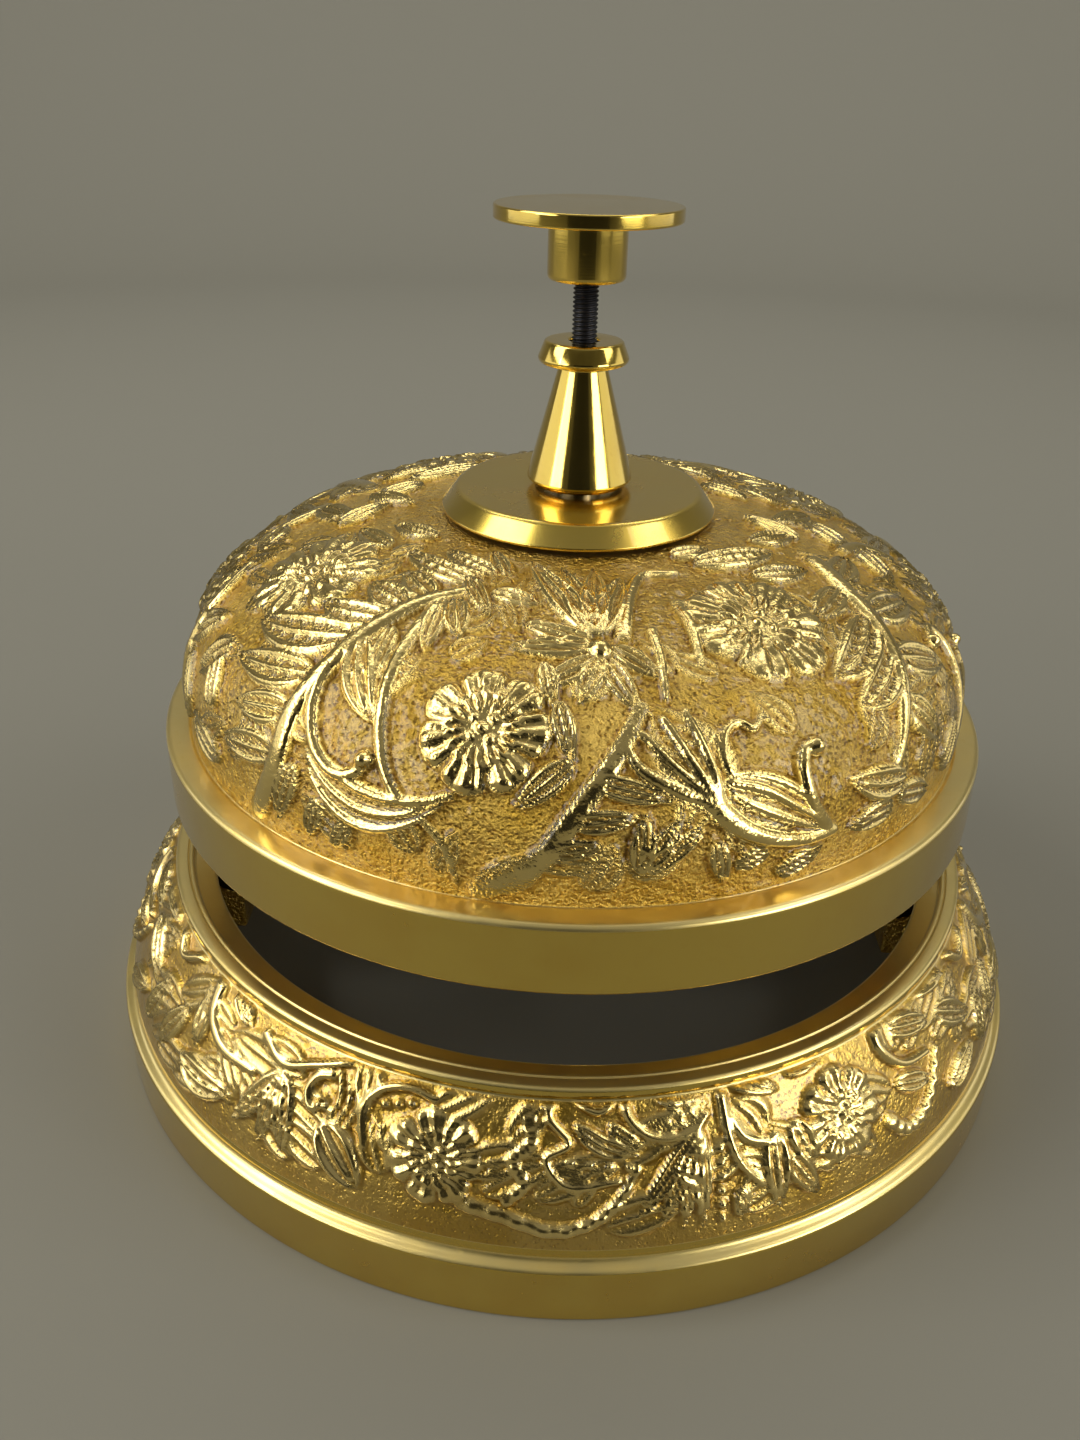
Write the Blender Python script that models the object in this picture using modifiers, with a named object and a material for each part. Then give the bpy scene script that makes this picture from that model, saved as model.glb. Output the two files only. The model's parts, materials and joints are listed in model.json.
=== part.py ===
"""Ornate counter bell: a domed bell on a cast ring base, rung by a spring-loaded push button.

The frame is metres with +Z up. The origin is the centre of the base's underside, and the
plunger runs down the Z axis. The hammer works on the +Y side, so the user's side is -Y.
"""

import math

import bmesh
import bpy
from mathutils import Matrix, Vector

MM = 0.001
NAME = "service_bell"

# Gaps
SEAT_GAP = 0.3 * MM  # between faces that touch
BORE_GAP = 0.3 * MM  # between a hole and what passes through it
SLIDE_GAP = 0.4 * MM  # round the hammer tail where it passes the plunger

# Cast ring base
BASE_RADIUS = 62.0 * MM
BASE_BAND_HEIGHT = 7.5 * MM
BASE_LEDGE = 1.3 * MM
BASE_FLANK_RUN = 7.2 * MM
BASE_FLANK_RISE = 15.8 * MM
BASE_FLANK_BELLY = 5.4 * MM  # height up to which the flank stands almost upright
BASE_RIM_WIDTH = 2.4 * MM
BASE_RIM_RISE = 1.6 * MM
BASE_LIP_WIDTH = 2.8 * MM
BASE_LIP_DROP = 1.0 * MM
BASE_LIP_THICKNESS = 1.8 * MM
BASE_WALL = 3.2 * MM
BASE_EDGE = 0.6 * MM

# Lugs inside the base and the bar across them
LUG_LENGTH = 12.0 * MM
LUG_WIDTH = 13.0 * MM
LUG_HEIGHT = 6.5 * MM
LUG_ROOT = 1.0 * MM  # of the lug inside the wall
BRIDGE_HEIGHT = 14.0 * MM  # underside of the bar above the table
BRIDGE_THICKNESS = 2.5 * MM
BRIDGE_WIDTH = 15.0 * MM
BRIDGE_SCREW_RADIUS = 2.0 * MM
BRIDGE_SCREW_HEAD_RADIUS = 3.6 * MM
BRIDGE_SCREW_HEAD_HEIGHT = 2.0 * MM
BRIDGE_SCREW_CROWN_RADIUS = 2.5 * MM  # of the flat inside the head's bevel
BRIDGE_SCREW_BEVEL = 0.7 * MM
BRIDGE_SCREW_SLOT = 0.9 * MM

# Bell dome
DOME_RADIUS = 52.4 * MM
DOME_RIM_GAP = 11.6 * MM  # from the top of the base to the mouth of the bell
DOME_BAND_HEIGHT = 8.5 * MM
DOME_LEDGE = 3.3 * MM
DOME_CROWN_RISE = 24.9 * MM  # from the ledge to the crown
DOME_CROWN_POWER = 2.85  # 2 is an ellipse, more is squarer in the shoulder
DOME_WALL = 3.0 * MM
DOME_LAND_RADIUS = 17.2 * MM
DOME_EDGE = 0.7 * MM

# Washer on the crown
CAP_RADIUS = 16.9 * MM
CAP_THICKNESS = 2.6 * MM
CAP_BEVEL = 1.9 * MM

# Turned nut that clamps the dome
FINIAL_HEIGHT = 17.1 * MM
FINIAL_COLLAR_RADIUS = 5.45 * MM
FINIAL_COLLAR_FLARE = 0.85 * MM
FINIAL_COLLAR_HEIGHT = 2.6 * MM
FINIAL_WAIST_RADIUS = 2.9 * MM
FINIAL_CONE_RADIUS = 6.45 * MM
FINIAL_FOOT_RADIUS = 5.4 * MM
FINIAL_FOOT_HEIGHT = 0.5 * MM
FINIAL_STEP = 0.4 * MM
FINIAL_EDGE = 0.3 * MM

# Post, and the sleeve that is screwed into its top
POST_RADIUS = 5.0 * MM
POST_SHOULDER_RADIUS = 6.5 * MM
POST_STUD_RADIUS = 4.0 * MM
POST_STUD_LENGTH = 7.5 * MM  # below the bar
POST_SHOULDER_HEIGHT = 19.2 * MM  # above the bar
POST_HEIGHT = 45.5 * MM  # above the bar
SPRING_CHAMBER_RADIUS = 3.3 * MM
SPRING_CHAMBER_FLOOR = 11.5 * MM  # above the bar
SLEEVE_RADIUS = 2.5 * MM
SLEEVE_ENGAGEMENT = 6.0 * MM
SLEEVE_REACH = 12.2 * MM  # above the crown

# Nuts and washers
POST_NUT_FLATS = 13.0 * MM
POST_NUT_HEIGHT = 3.4 * MM
POST_WASHER_RADIUS = 8.0 * MM
POST_WASHER_THICKNESS = 1.0 * MM
HEIGHT_NUT_FLATS = 10.0 * MM
HEIGHT_NUT_HEIGHT = 3.5 * MM
BRACKET_NUT_FLATS = 16.0 * MM
BRACKET_NUT_HEIGHT = 3.2 * MM
PAD_RADIUS = 8.0 * MM
PAD_THICKNESS = 0.8 * MM

# Plunger
TRAVEL = 5.5 * MM
ROD_RADIUS = 1.5 * MM
ROD_TAIL = 2.4 * MM  # below the spring chamber at rest
ROD_TIP = 0.5 * MM
BUTTON_RADIUS = 10.75 * MM
BUTTON_THICKNESS = 1.6 * MM
BUTTON_BOSS_RADIUS = 4.55 * MM
BUTTON_BOSS_LENGTH = 6.5 * MM
BUTTON_CLEARANCE = 6.6 * MM  # from the finial to the button at rest
BUTTON_THREAD_DEPTH = 4.6 * MM
BUTTON_EDGE = 0.2 * MM
BUTTON_BOSS_EDGE = 0.5 * MM
STRIKER_RADIUS = 3.0 * MM
STRIKER_HEIGHT = 2.5 * MM
SPRING_NUT_RADIUS = 2.9 * MM
SPRING_NUT_HEIGHT = 1.8 * MM
SPRING_WIRE = 0.6 * MM
SPRING_TURNS = 7
SPRING_END_EASE = 0.6  # share of the pitch that the end turns lose, so that they lie almost flat

# Hammer
HAMMER_OFFSET = 2.7 * MM  # of the lever's plane from the plunger's axis, along X
LEVER_THICKNESS = 1.6 * MM
LEVER_HALF_WIDTH = 1.5 * MM
LEVER_HUB_RADIUS = 3.2 * MM
LEVER_EYE_RADIUS = 2.2 * MM
LEVER_NOSE_DROP = 1.6 * MM  # of the tail below its nose, so that only the nose is pushed
LEVER_NOSE_RUN = 3.6 * MM  # of the tail's slope behind the nose
PIVOT_REACH = 16.0 * MM
PIVOT_RADIUS = 1.3 * MM
PIVOT_HEAD_RADIUS = 2.4 * MM
PIVOT_HEAD_THICKNESS = 1.2 * MM
PIVOT_SPACER_RADIUS = 2.6 * MM
PIVOT_SPACER_THICKNESS = 0.8 * MM
NOSE_ABOVE_PIVOT = 1.2 * MM
HEAD_RADIUS = 5.0 * MM
HEAD_RIVET_RADIUS = 1.1 * MM
STRIKE_INSET = 9.1 * MM  # of the struck spot from the dome's inside at its foot
STRIKE_GAP = 0.7 * MM  # left there when the button is held down

# Hammer bracket
BRACKET_WIDTH = 15.0 * MM
BRACKET_THICKNESS = 2.0 * MM
BRACKET_BACK = 8.5 * MM  # from the post's axis towards the user
BRACKET_EAR_THICKNESS = 1.6 * MM
BRACKET_EAR_WIDTH = 8.0 * MM

# Facets
COARSE = 60
MIDDLE = 28
FINE = 16
ARC_POINTS = 9
SHARP_ANGLE = math.radians(32)
WELD = 0.00001

# Levels worked out from the sizes above
BASE_LEDGE_RADIUS = BASE_RADIUS - BASE_LEDGE
BASE_RIM_RADIUS = BASE_LEDGE_RADIUS - BASE_FLANK_RUN
BASE_RIM_INNER_RADIUS = BASE_RIM_RADIUS - BASE_RIM_WIDTH
BASE_LIP_RADIUS = BASE_RIM_INNER_RADIUS - BASE_LIP_WIDTH
BASE_FLANK_TOP = BASE_BAND_HEIGHT + BASE_FLANK_RISE
BASE_HEIGHT = BASE_FLANK_TOP + BASE_RIM_RISE
BASE_INNER_RADIUS = BASE_LEDGE_RADIUS - BASE_WALL

LUG_TOP = BRIDGE_HEIGHT - SEAT_GAP
BRIDGE_TOP = BRIDGE_HEIGHT + BRIDGE_THICKNESS

POST_SEAT = BRIDGE_TOP + SEAT_GAP
POST_SHOULDER_TOP = BRIDGE_TOP + POST_SHOULDER_HEIGHT
POST_TOP = BRIDGE_TOP + POST_HEIGHT
POST_FOOT = BRIDGE_HEIGHT - POST_STUD_LENGTH
ROD_BORE = ROD_RADIUS + BORE_GAP
CHAMBER_FLOOR = BRIDGE_TOP + SPRING_CHAMBER_FLOOR
SLEEVE_FOOT = POST_TOP - SLEEVE_ENGAGEMENT
SLEEVE_BORE = SLEEVE_RADIUS + BORE_GAP
HEIGHT_NUT_SEAT = POST_TOP + SEAT_GAP
PAD_SEAT = HEIGHT_NUT_SEAT + HEIGHT_NUT_HEIGHT + SEAT_GAP

DOME_MOUTH = BASE_HEIGHT + DOME_RIM_GAP
DOME_LEDGE_HEIGHT = DOME_MOUTH + DOME_BAND_HEIGHT
DOME_CROWN = DOME_LEDGE_HEIGHT + DOME_CROWN_RISE
DOME_SHELL_RADIUS = DOME_RADIUS - DOME_LEDGE
DOME_INNER_RADIUS = DOME_SHELL_RADIUS - DOME_WALL
DOME_INNER_RISE = PAD_SEAT + PAD_THICKNESS + SEAT_GAP - DOME_LEDGE_HEIGHT
STRIKE_RADIUS = DOME_INNER_RADIUS - STRIKE_INSET

CAP_SEAT = DOME_CROWN + SEAT_GAP
CAP_TOP = CAP_SEAT + CAP_THICKNESS
FINIAL_SEAT = CAP_TOP + SEAT_GAP
FINIAL_TOP = FINIAL_SEAT + FINIAL_HEIGHT
SLEEVE_TOP = DOME_CROWN + SLEEVE_REACH

STRIKER_TOP = SLEEVE_FOOT - SEAT_GAP
STRIKER_SEAT = STRIKER_TOP - STRIKER_HEIGHT
NOSE_HEIGHT = STRIKER_SEAT - SEAT_GAP - LEVER_HALF_WIDTH
PIVOT_HEIGHT = NOSE_HEIGHT - NOSE_ABOVE_PIVOT
SPRING_NUT_TOP = NOSE_HEIGHT - 3 * LEVER_HALF_WIDTH - LEVER_NOSE_DROP
SPRING_NUT_SEAT = SPRING_NUT_TOP - SPRING_NUT_HEIGHT
BUTTON_FOOT = FINIAL_TOP + BUTTON_CLEARANCE
BUTTON_UNDERSIDE = BUTTON_FOOT + BUTTON_BOSS_LENGTH
BUTTON_TOP = BUTTON_UNDERSIDE + BUTTON_THICKNESS
ROD_TOP = BUTTON_FOOT + BUTTON_THREAD_DEPTH
ROD_FOOT = CHAMBER_FLOOR - ROD_TAIL
SWING = TRAVEL / PIVOT_REACH

BRACKET_SEAT = POST_SHOULDER_TOP + SEAT_GAP
BRACKET_TOP = BRACKET_SEAT + BRACKET_THICKNESS
EAR_INNER = LEVER_THICKNESS / 2 + PIVOT_SPACER_THICKNESS + 2 * SEAT_GAP
EAR_OUTER = EAR_INNER + BRACKET_EAR_THICKNESS


def clear_scene():
    """Remove every object that the startup scene holds."""
    for obj in list(bpy.data.objects):
        bpy.data.objects.remove(obj, do_unlink=True)


def make_collection(name):
    """Return a new collection linked to the scene."""
    collection = bpy.data.collections.new(name)
    bpy.context.scene.collection.children.link(collection)
    return collection


clear_scene()
PARTS = make_collection(NAME)
CUTTERS = make_collection(NAME + "_cutters")


def finish_of(name, color, roughness, metallic):
    """Return a material with one Principled shader."""
    material = bpy.data.materials.new(name)
    material.use_nodes = True
    shader = material.node_tree.nodes["Principled BSDF"]
    shader.inputs["Base Color"].default_value = (*color, 1.0)
    shader.inputs["Roughness"].default_value = roughness
    shader.inputs["Metallic"].default_value = metallic
    return material


CAST_BRASS = ((0.80, 0.56, 0.15), 0.26, 1.0)
TURNED_BRASS = ((0.84, 0.60, 0.16), 0.12, 1.0)
DARK_STEEL = ((0.05, 0.05, 0.055), 0.42, 1.0)
BRIGHT_STEEL = ((0.52, 0.52, 0.50), 0.30, 1.0)
FIBRE = ((0.16, 0.08, 0.04), 0.85, 0.0)


def add_object(name, mesh, collection=PARTS, matrix=None):
    """Put a mesh into the scene as an object."""
    obj = bpy.data.objects.new(name, mesh)
    obj.matrix_world = matrix or Matrix.Identity(4)
    collection.objects.link(obj)
    return obj


def settle(obj):
    """Replace the object's mesh by what its modifiers make of it."""
    bpy.context.view_layer.update()
    graph = bpy.context.evaluated_depsgraph_get()
    mesh = bpy.data.meshes.new_from_object(obj.evaluated_get(graph))
    if obj.type == "CURVE":
        mesh = weld(mesh)
        name = obj.name
        matrix = obj.matrix_world.copy()
        collection = obj.users_collection[0]
        bpy.data.objects.remove(obj, do_unlink=True)
        return add_object(name, mesh, collection, matrix)
    obj.modifiers.clear()
    obj.data = mesh
    return obj


def weld(mesh):
    """Join the loose caps of a mesh made from a curve."""
    work = bmesh.new()
    work.from_mesh(mesh)
    bmesh.ops.remove_doubles(work, verts=work.verts, dist=WELD)
    bmesh.ops.recalc_face_normals(work, faces=work.faces)
    work.to_mesh(mesh)
    work.free()
    return mesh


def dress(obj, finish):
    """Give a part its own material and smooth its round faces."""
    obj.data.materials.clear()
    obj.data.materials.append(finish_of(obj.name, *finish))
    obj.data.shade_smooth()
    obj.data.set_sharp_from_angle(angle=SHARP_ANGLE)
    return obj


def turned(name, profile, steps, closed=True, collection=PARTS):
    """Turn a profile of (radius, height) points round the Z axis.

    A closed profile makes a ring. An open one starts and ends on the axis.
    """
    mesh = bpy.data.meshes.new(name)
    ends = [(i, i + 1) for i in range(len(profile) - 1)]
    if closed:
        ends.append((len(profile) - 1, 0))
    mesh.from_pydata([(radius, 0.0, height) for radius, height in profile], ends, [])
    obj = add_object(name, mesh, collection)
    screw = obj.modifiers.new("Screw", "SCREW")
    screw.steps = steps
    screw.render_steps = steps
    screw.use_merge_vertices = True
    screw.merge_threshold = WELD
    return settle(obj)


def bored(outer, bore):
    """Close an outer profile, which runs top to bottom, with a straight bore."""
    return outer + [(bore, outer[-1][1]), (bore, outer[0][1])]


def washer(name, radius, bore, seat, thickness, steps=MIDDLE):
    """Make a flat washer that lies on the height seat."""
    outer = [(radius, seat + thickness), (radius, seat)]
    return turned(name, bored(outer, bore), steps)


def along_x(x, y, z):
    """Return the matrix that turns an object's Z axis to world X and moves it to a point."""
    return Matrix.Translation((x, y, z)) @ Matrix.Rotation(math.pi / 2, 4, "Y")


def boolean(obj, other, operation):
    """Cut the object with another, or join that one to it."""
    modifier = obj.modifiers.new("Boolean", "BOOLEAN")
    modifier.operation = operation
    modifier.object = other
    other.hide_render = True
    other.display_type = "WIRE"
    return settle(obj)


def box_cutter(name, low, high):
    """Make a box between two corners in the cutters' collection."""
    work = bmesh.new()
    bmesh.ops.create_cube(work, size=1.0)
    middle = (Vector(low) + Vector(high)) / 2
    size = Vector(high) - Vector(low)
    for vertex in work.verts:
        vertex.co = middle + Vector(a * b for a, b in zip(vertex.co, size))
    mesh = bpy.data.meshes.new(name)
    work.to_mesh(mesh)
    work.free()
    return add_object(name, mesh, CUTTERS)


def rod_cutter(name, radius, length, matrix=None, sides=FINE):
    """Make a cylinder centred on its matrix in the cutters' collection."""
    work = bmesh.new()
    bmesh.ops.create_cone(
        work, cap_ends=True, segments=sides, radius1=radius, radius2=radius, depth=length
    )
    mesh = bpy.data.meshes.new(name)
    work.to_mesh(mesh)
    work.free()
    return add_object(name, mesh, CUTTERS, matrix)


def circle_points(x, y, radius, sides=FINE):
    """Return points round a circle."""
    turn = 2 * math.pi / sides
    return [(x + radius * math.cos(i * turn), y + radius * math.sin(i * turn)) for i in range(sides)]


def plate(name, loops, thickness, matrix, collection=PARTS):
    """Fill flat loops, the first round the others, and thicken them both ways."""
    curve = bpy.data.curves.new(name, "CURVE")
    curve.dimensions = "2D"
    curve.fill_mode = "BOTH"
    curve.extrude = thickness / 2
    for loop in loops:
        spline = curve.splines.new("POLY")
        spline.points.add(len(loop) - 1)
        for point, (x, y) in zip(spline.points, loop):
            point.co = (x, y, 0.0, 1.0)
        spline.use_cyclic_u = True
    obj = bpy.data.objects.new(name, curve)
    obj.matrix_world = matrix
    collection.objects.link(obj)
    return settle(obj)


def hex_nut(name, flats, bore, seat, height, finish):
    """Make a hexagon nut round the Z axis, with its corners turned off."""
    corner = flats / math.sqrt(3)
    nut = rod_cutter(name + "_hexagon", corner, height, sides=6)
    nut.location.z = seat + height / 2
    turn_off = corner - flats / 2
    outer = [
        (flats / 2, seat + height),
        (corner + WELD, seat + height - turn_off / 2),
        (corner + WELD, seat + turn_off / 2),
        (flats / 2, seat),
    ]
    obj = turned(name, bored(outer, bore), MIDDLE)
    return dress(boolean(obj, nut, "INTERSECT"), finish)


def flank_radius_points(inset):
    """Return the base's flank from the rim down to the ledge, moved inwards by inset."""
    top = Vector((BASE_RIM_RADIUS, BASE_FLANK_TOP))
    knee = Vector((BASE_LEDGE_RADIUS, BASE_BAND_HEIGHT + BASE_FLANK_BELLY))
    low = Vector((BASE_LEDGE_RADIUS, BASE_BAND_HEIGHT))
    points = []
    for i in range(ARC_POINTS):
        t = i / (ARC_POINTS - 1)
        point = (1 - t) ** 2 * top + 2 * t * (1 - t) * knee + t**2 * low
        slope = 2 * (1 - t) * (knee - top) + 2 * t * (low - knee)
        normal = Vector((slope.y, -slope.x)).normalized()
        points.append(tuple(point + normal * inset))
    return points


def bridge_half_length():
    """Return how far the bar reaches: a gap short of the flank's inside at its screws' tops."""
    level = BRIDGE_TOP + SEAT_GAP + BRIDGE_SCREW_HEAD_HEIGHT
    inside = flank_radius_points(BASE_WALL)
    for (upper_radius, upper), (lower_radius, lower) in zip(inside, inside[1:]):
        if upper >= level >= lower:
            share = (upper - level) / (upper - lower)
            return upper_radius + (lower_radius - upper_radius) * share - 2 * SEAT_GAP
    return inside[-1][0] - 2 * SEAT_GAP


def lug_screw_x():
    """Return how far the bar's screws are from the middle."""
    return bridge_half_length() - BRIDGE_SCREW_HEAD_RADIUS


def make_base_ring():
    """Cast ring with a band at the foot, a sloping flank, a rim, a lip and two lugs."""
    top = BASE_HEIGHT
    lip_top = top - BASE_LIP_DROP
    outer = [
        (BASE_RIM_INNER_RADIUS, top),
        (BASE_RIM_RADIUS - BASE_EDGE, top),
        (BASE_RIM_RADIUS, top - BASE_EDGE),
        *flank_radius_points(0.0),
        (BASE_RADIUS - BASE_EDGE, BASE_BAND_HEIGHT),
        (BASE_RADIUS, BASE_BAND_HEIGHT - BASE_EDGE),
        (BASE_RADIUS, 0.0),
        (BASE_INNER_RADIUS, 0.0),
    ]
    lip_foot = lip_top - BASE_LIP_THICKNESS
    inside = [point for point in flank_radius_points(BASE_WALL) if point[1] < lip_foot]
    inner = [
        *reversed(inside),
        (inside[0][0], lip_foot),
        (BASE_LIP_RADIUS, lip_foot),
        (BASE_LIP_RADIUS, lip_top),
    ]
    ring = turned("base_ring", outer + inner, COARSE)
    for side in (-1, 1):
        near = BASE_INNER_RADIUS - LUG_LENGTH
        far = BASE_INNER_RADIUS + LUG_ROOT
        lug = box_cutter(
            "lug",
            (min(side * near, side * far), -LUG_WIDTH / 2, LUG_TOP - LUG_HEIGHT),
            (max(side * near, side * far), LUG_WIDTH / 2, LUG_TOP),
        )
        ring = boolean(ring, lug, "UNION")
        hole = rod_cutter("lug_hole", BRIDGE_SCREW_RADIUS + BORE_GAP, 3 * LUG_HEIGHT)
        hole.location = (side * lug_screw_x(), 0.0, LUG_TOP - LUG_HEIGHT / 2)
        ring = boolean(ring, hole, "DIFFERENCE")
    return dress(ring, CAST_BRASS)


def make_bridge_bar():
    """Flat bar across the lugs, with round ends, that carries the post."""
    half = BRIDGE_WIDTH / 2
    centre = bridge_half_length() - half
    outline = []
    for side in (1, -1):
        for i in range(ARC_POINTS + 1):
            angle = math.pi * (i / ARC_POINTS - 0.5)
            outline.append((side * (centre + half * math.cos(angle)), side * half * math.sin(angle)))
    loops = [outline, circle_points(0.0, 0.0, POST_STUD_RADIUS + BORE_GAP)]
    for side in (-1, 1):
        loops.append(circle_points(side * lug_screw_x(), 0.0, BRIDGE_SCREW_RADIUS + BORE_GAP))
    matrix = Matrix.Translation((0.0, 0.0, BRIDGE_HEIGHT + BRIDGE_THICKNESS / 2))
    return dress(plate("bridge_bar", loops, BRIDGE_THICKNESS, matrix), DARK_STEEL)


def make_bridge_screws():
    """Two slotted screws that hold the bar down on the lugs."""
    seat = BRIDGE_TOP + SEAT_GAP
    top = seat + BRIDGE_SCREW_HEAD_HEIGHT
    tip = LUG_TOP - LUG_HEIGHT - BRIDGE_SCREW_RADIUS / 2
    head = BRIDGE_SCREW_HEAD_RADIUS
    profile = [
        (0.0, top),
        (BRIDGE_SCREW_CROWN_RADIUS, top),
        (head, top - BRIDGE_SCREW_BEVEL),
        (head, seat),
        (BRIDGE_SCREW_RADIUS, seat),
        (BRIDGE_SCREW_RADIUS, tip),
        (0.0, tip),
    ]
    for side, label in ((-1, "left"), (1, "right")):
        screw = turned("bridge_screw_" + label, profile, FINE, closed=False)
        slot = box_cutter(
            "screw_slot",
            (-head - WELD, -BRIDGE_SCREW_SLOT / 2, top - BRIDGE_SCREW_HEAD_HEIGHT / 2),
            (head + WELD, BRIDGE_SCREW_SLOT / 2, top + WELD),
        )
        screw = boolean(screw, slot, "DIFFERENCE")
        screw.location.x = side * lug_screw_x()
        dress(screw, BRIGHT_STEEL)


def make_post():
    """Hollow post on the bar, with the spring chamber inside and a slot for the hammer tail."""
    profile = [
        (SPRING_CHAMBER_RADIUS, POST_TOP),
        (POST_RADIUS, POST_TOP),
        (POST_RADIUS, POST_SHOULDER_TOP),
        (POST_SHOULDER_RADIUS, POST_SHOULDER_TOP),
        (POST_SHOULDER_RADIUS, POST_SEAT),
        (POST_STUD_RADIUS, POST_SEAT),
        (POST_STUD_RADIUS, POST_FOOT),
        (ROD_BORE, POST_FOOT),
        (ROD_BORE, CHAMBER_FLOOR),
        (SPRING_CHAMBER_RADIUS, CHAMBER_FLOOR),
    ]
    post = turned("center_post", profile, MIDDLE)
    half = LEVER_THICKNESS / 2 + SLIDE_GAP
    drop = TRAVEL * (1 + POST_RADIUS / PIVOT_REACH)
    slot = box_cutter(
        "tail_slot",
        (
            HAMMER_OFFSET - half,
            -LEVER_HALF_WIDTH - 2 * SLIDE_GAP,
            NOSE_HEIGHT - LEVER_NOSE_DROP - 2 * LEVER_HALF_WIDTH - drop,
        ),
        (HAMMER_OFFSET + half, 2 * POST_RADIUS, NOSE_HEIGHT + 2 * LEVER_HALF_WIDTH),
    )
    return dress(boolean(post, slot, "DIFFERENCE"), TURNED_BRASS)


def make_post_fasteners():
    """Nut and washer under the bar that hold the post on it."""
    seat = BRIDGE_HEIGHT - SEAT_GAP - POST_WASHER_THICKNESS
    nut_seat = seat - SEAT_GAP - POST_NUT_HEIGHT
    bore = POST_STUD_RADIUS + BORE_GAP
    dress(washer("post_washer", POST_WASHER_RADIUS, bore, seat, POST_WASHER_THICKNESS), BRIGHT_STEEL)
    hex_nut("post_nut", POST_NUT_FLATS, bore, nut_seat, POST_NUT_HEIGHT, BRIGHT_STEEL)


def make_sleeve():
    """Threaded sleeve from the post up into the finial, with the rod sliding in it."""
    top = SLEEVE_TOP
    profile = [
        (ROD_BORE, top),
        (SLEEVE_RADIUS, top),
        (SLEEVE_RADIUS, POST_TOP),
        (SPRING_CHAMBER_RADIUS - BORE_GAP, POST_TOP),
        (SPRING_CHAMBER_RADIUS - BORE_GAP, SLEEVE_FOOT),
        (ROD_BORE, SLEEVE_FOOT),
    ]
    return dress(turned("dome_sleeve", profile, MIDDLE), BRIGHT_STEEL)


def make_dome_seat():
    """Nut on the sleeve and fibre pad that the dome stands on."""
    hex_nut("height_nut", HEIGHT_NUT_FLATS, SLEEVE_BORE, HEIGHT_NUT_SEAT, HEIGHT_NUT_HEIGHT, BRIGHT_STEEL)
    dress(washer("dome_pad", PAD_RADIUS, SLEEVE_BORE, PAD_SEAT, PAD_THICKNESS), FIBRE)


def crown_height(radius, reach, rise):
    """Return how high a crown of that reach and rise stands at a radius."""
    return rise * (1 - (radius / reach) ** DOME_CROWN_POWER) ** (1 / DOME_CROWN_POWER)


def crown_points(reach, rise, first_radius):
    """Return the crown's section from first_radius out to its foot, closer together at the shoulder."""
    start = math.acos((first_radius / reach) ** (DOME_CROWN_POWER / 2))
    points = []
    for i in range(ARC_POINTS + 1):
        angle = start * (1 - i / ARC_POINTS)
        radius = reach * math.cos(angle) ** (2 / DOME_CROWN_POWER)
        points.append((radius, DOME_LEDGE_HEIGHT + rise * math.sin(angle) ** (2 / DOME_CROWN_POWER)))
    return points


def make_dome():
    """Cast bell with a plain band round its mouth and a full, flattened crown."""
    crown = crown_points(DOME_SHELL_RADIUS, DOME_CROWN_RISE, DOME_LAND_RADIUS)
    hollow = crown_points(DOME_INNER_RADIUS, DOME_INNER_RISE, PAD_RADIUS + SEAT_GAP)
    land = DOME_CROWN
    profile = [
        (SLEEVE_BORE, land),
        (crown[0][0], land),
        *crown[1:],
        (DOME_RADIUS - DOME_EDGE, DOME_LEDGE_HEIGHT),
        (DOME_RADIUS, DOME_LEDGE_HEIGHT - DOME_EDGE),
        (DOME_RADIUS, DOME_MOUTH + DOME_EDGE / 2),
        (DOME_RADIUS - DOME_EDGE / 2, DOME_MOUTH),
        (DOME_INNER_RADIUS, DOME_MOUTH),
        *reversed(hollow[1:]),
        (hollow[0][0], DOME_LEDGE_HEIGHT + DOME_INNER_RISE),
        (SLEEVE_BORE, DOME_LEDGE_HEIGHT + DOME_INNER_RISE),
    ]
    return dress(turned("bell_dome", profile, COARSE), CAST_BRASS)


def make_cap_washer():
    """Polished washer on the crown, with a wide bevel."""
    outer = [(CAP_RADIUS - CAP_BEVEL, CAP_TOP), (CAP_RADIUS, CAP_SEAT + SEAT_GAP), (CAP_RADIUS, CAP_SEAT)]
    return dress(turned("cap_washer", bored(outer, SLEEVE_BORE), COARSE), TURNED_BRASS)


def make_finial():
    """Turned nut on the sleeve: a flared collar over a cone that stands on a small foot."""
    collar_foot = FINIAL_TOP - FINIAL_COLLAR_HEIGHT
    cone_foot = FINIAL_SEAT + FINIAL_FOOT_HEIGHT
    profile = [
        (ROD_BORE, FINIAL_TOP),
        (FINIAL_COLLAR_RADIUS - FINIAL_COLLAR_FLARE, FINIAL_TOP),
        (FINIAL_COLLAR_RADIUS, collar_foot + FINIAL_EDGE),
        (FINIAL_COLLAR_RADIUS - FINIAL_EDGE, collar_foot),
        (FINIAL_WAIST_RADIUS, collar_foot - FINIAL_STEP),
        (FINIAL_CONE_RADIUS, cone_foot + FINIAL_EDGE),
        (FINIAL_CONE_RADIUS - FINIAL_EDGE, cone_foot),
        (FINIAL_FOOT_RADIUS, cone_foot),
        (FINIAL_FOOT_RADIUS, FINIAL_SEAT),
        (SLEEVE_BORE, FINIAL_SEAT),
        (SLEEVE_BORE, SLEEVE_TOP + SEAT_GAP),
        (ROD_BORE, SLEEVE_TOP + SEAT_GAP),
    ]
    return dress(turned("finial_nut", profile, MIDDLE), TURNED_BRASS)


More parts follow.
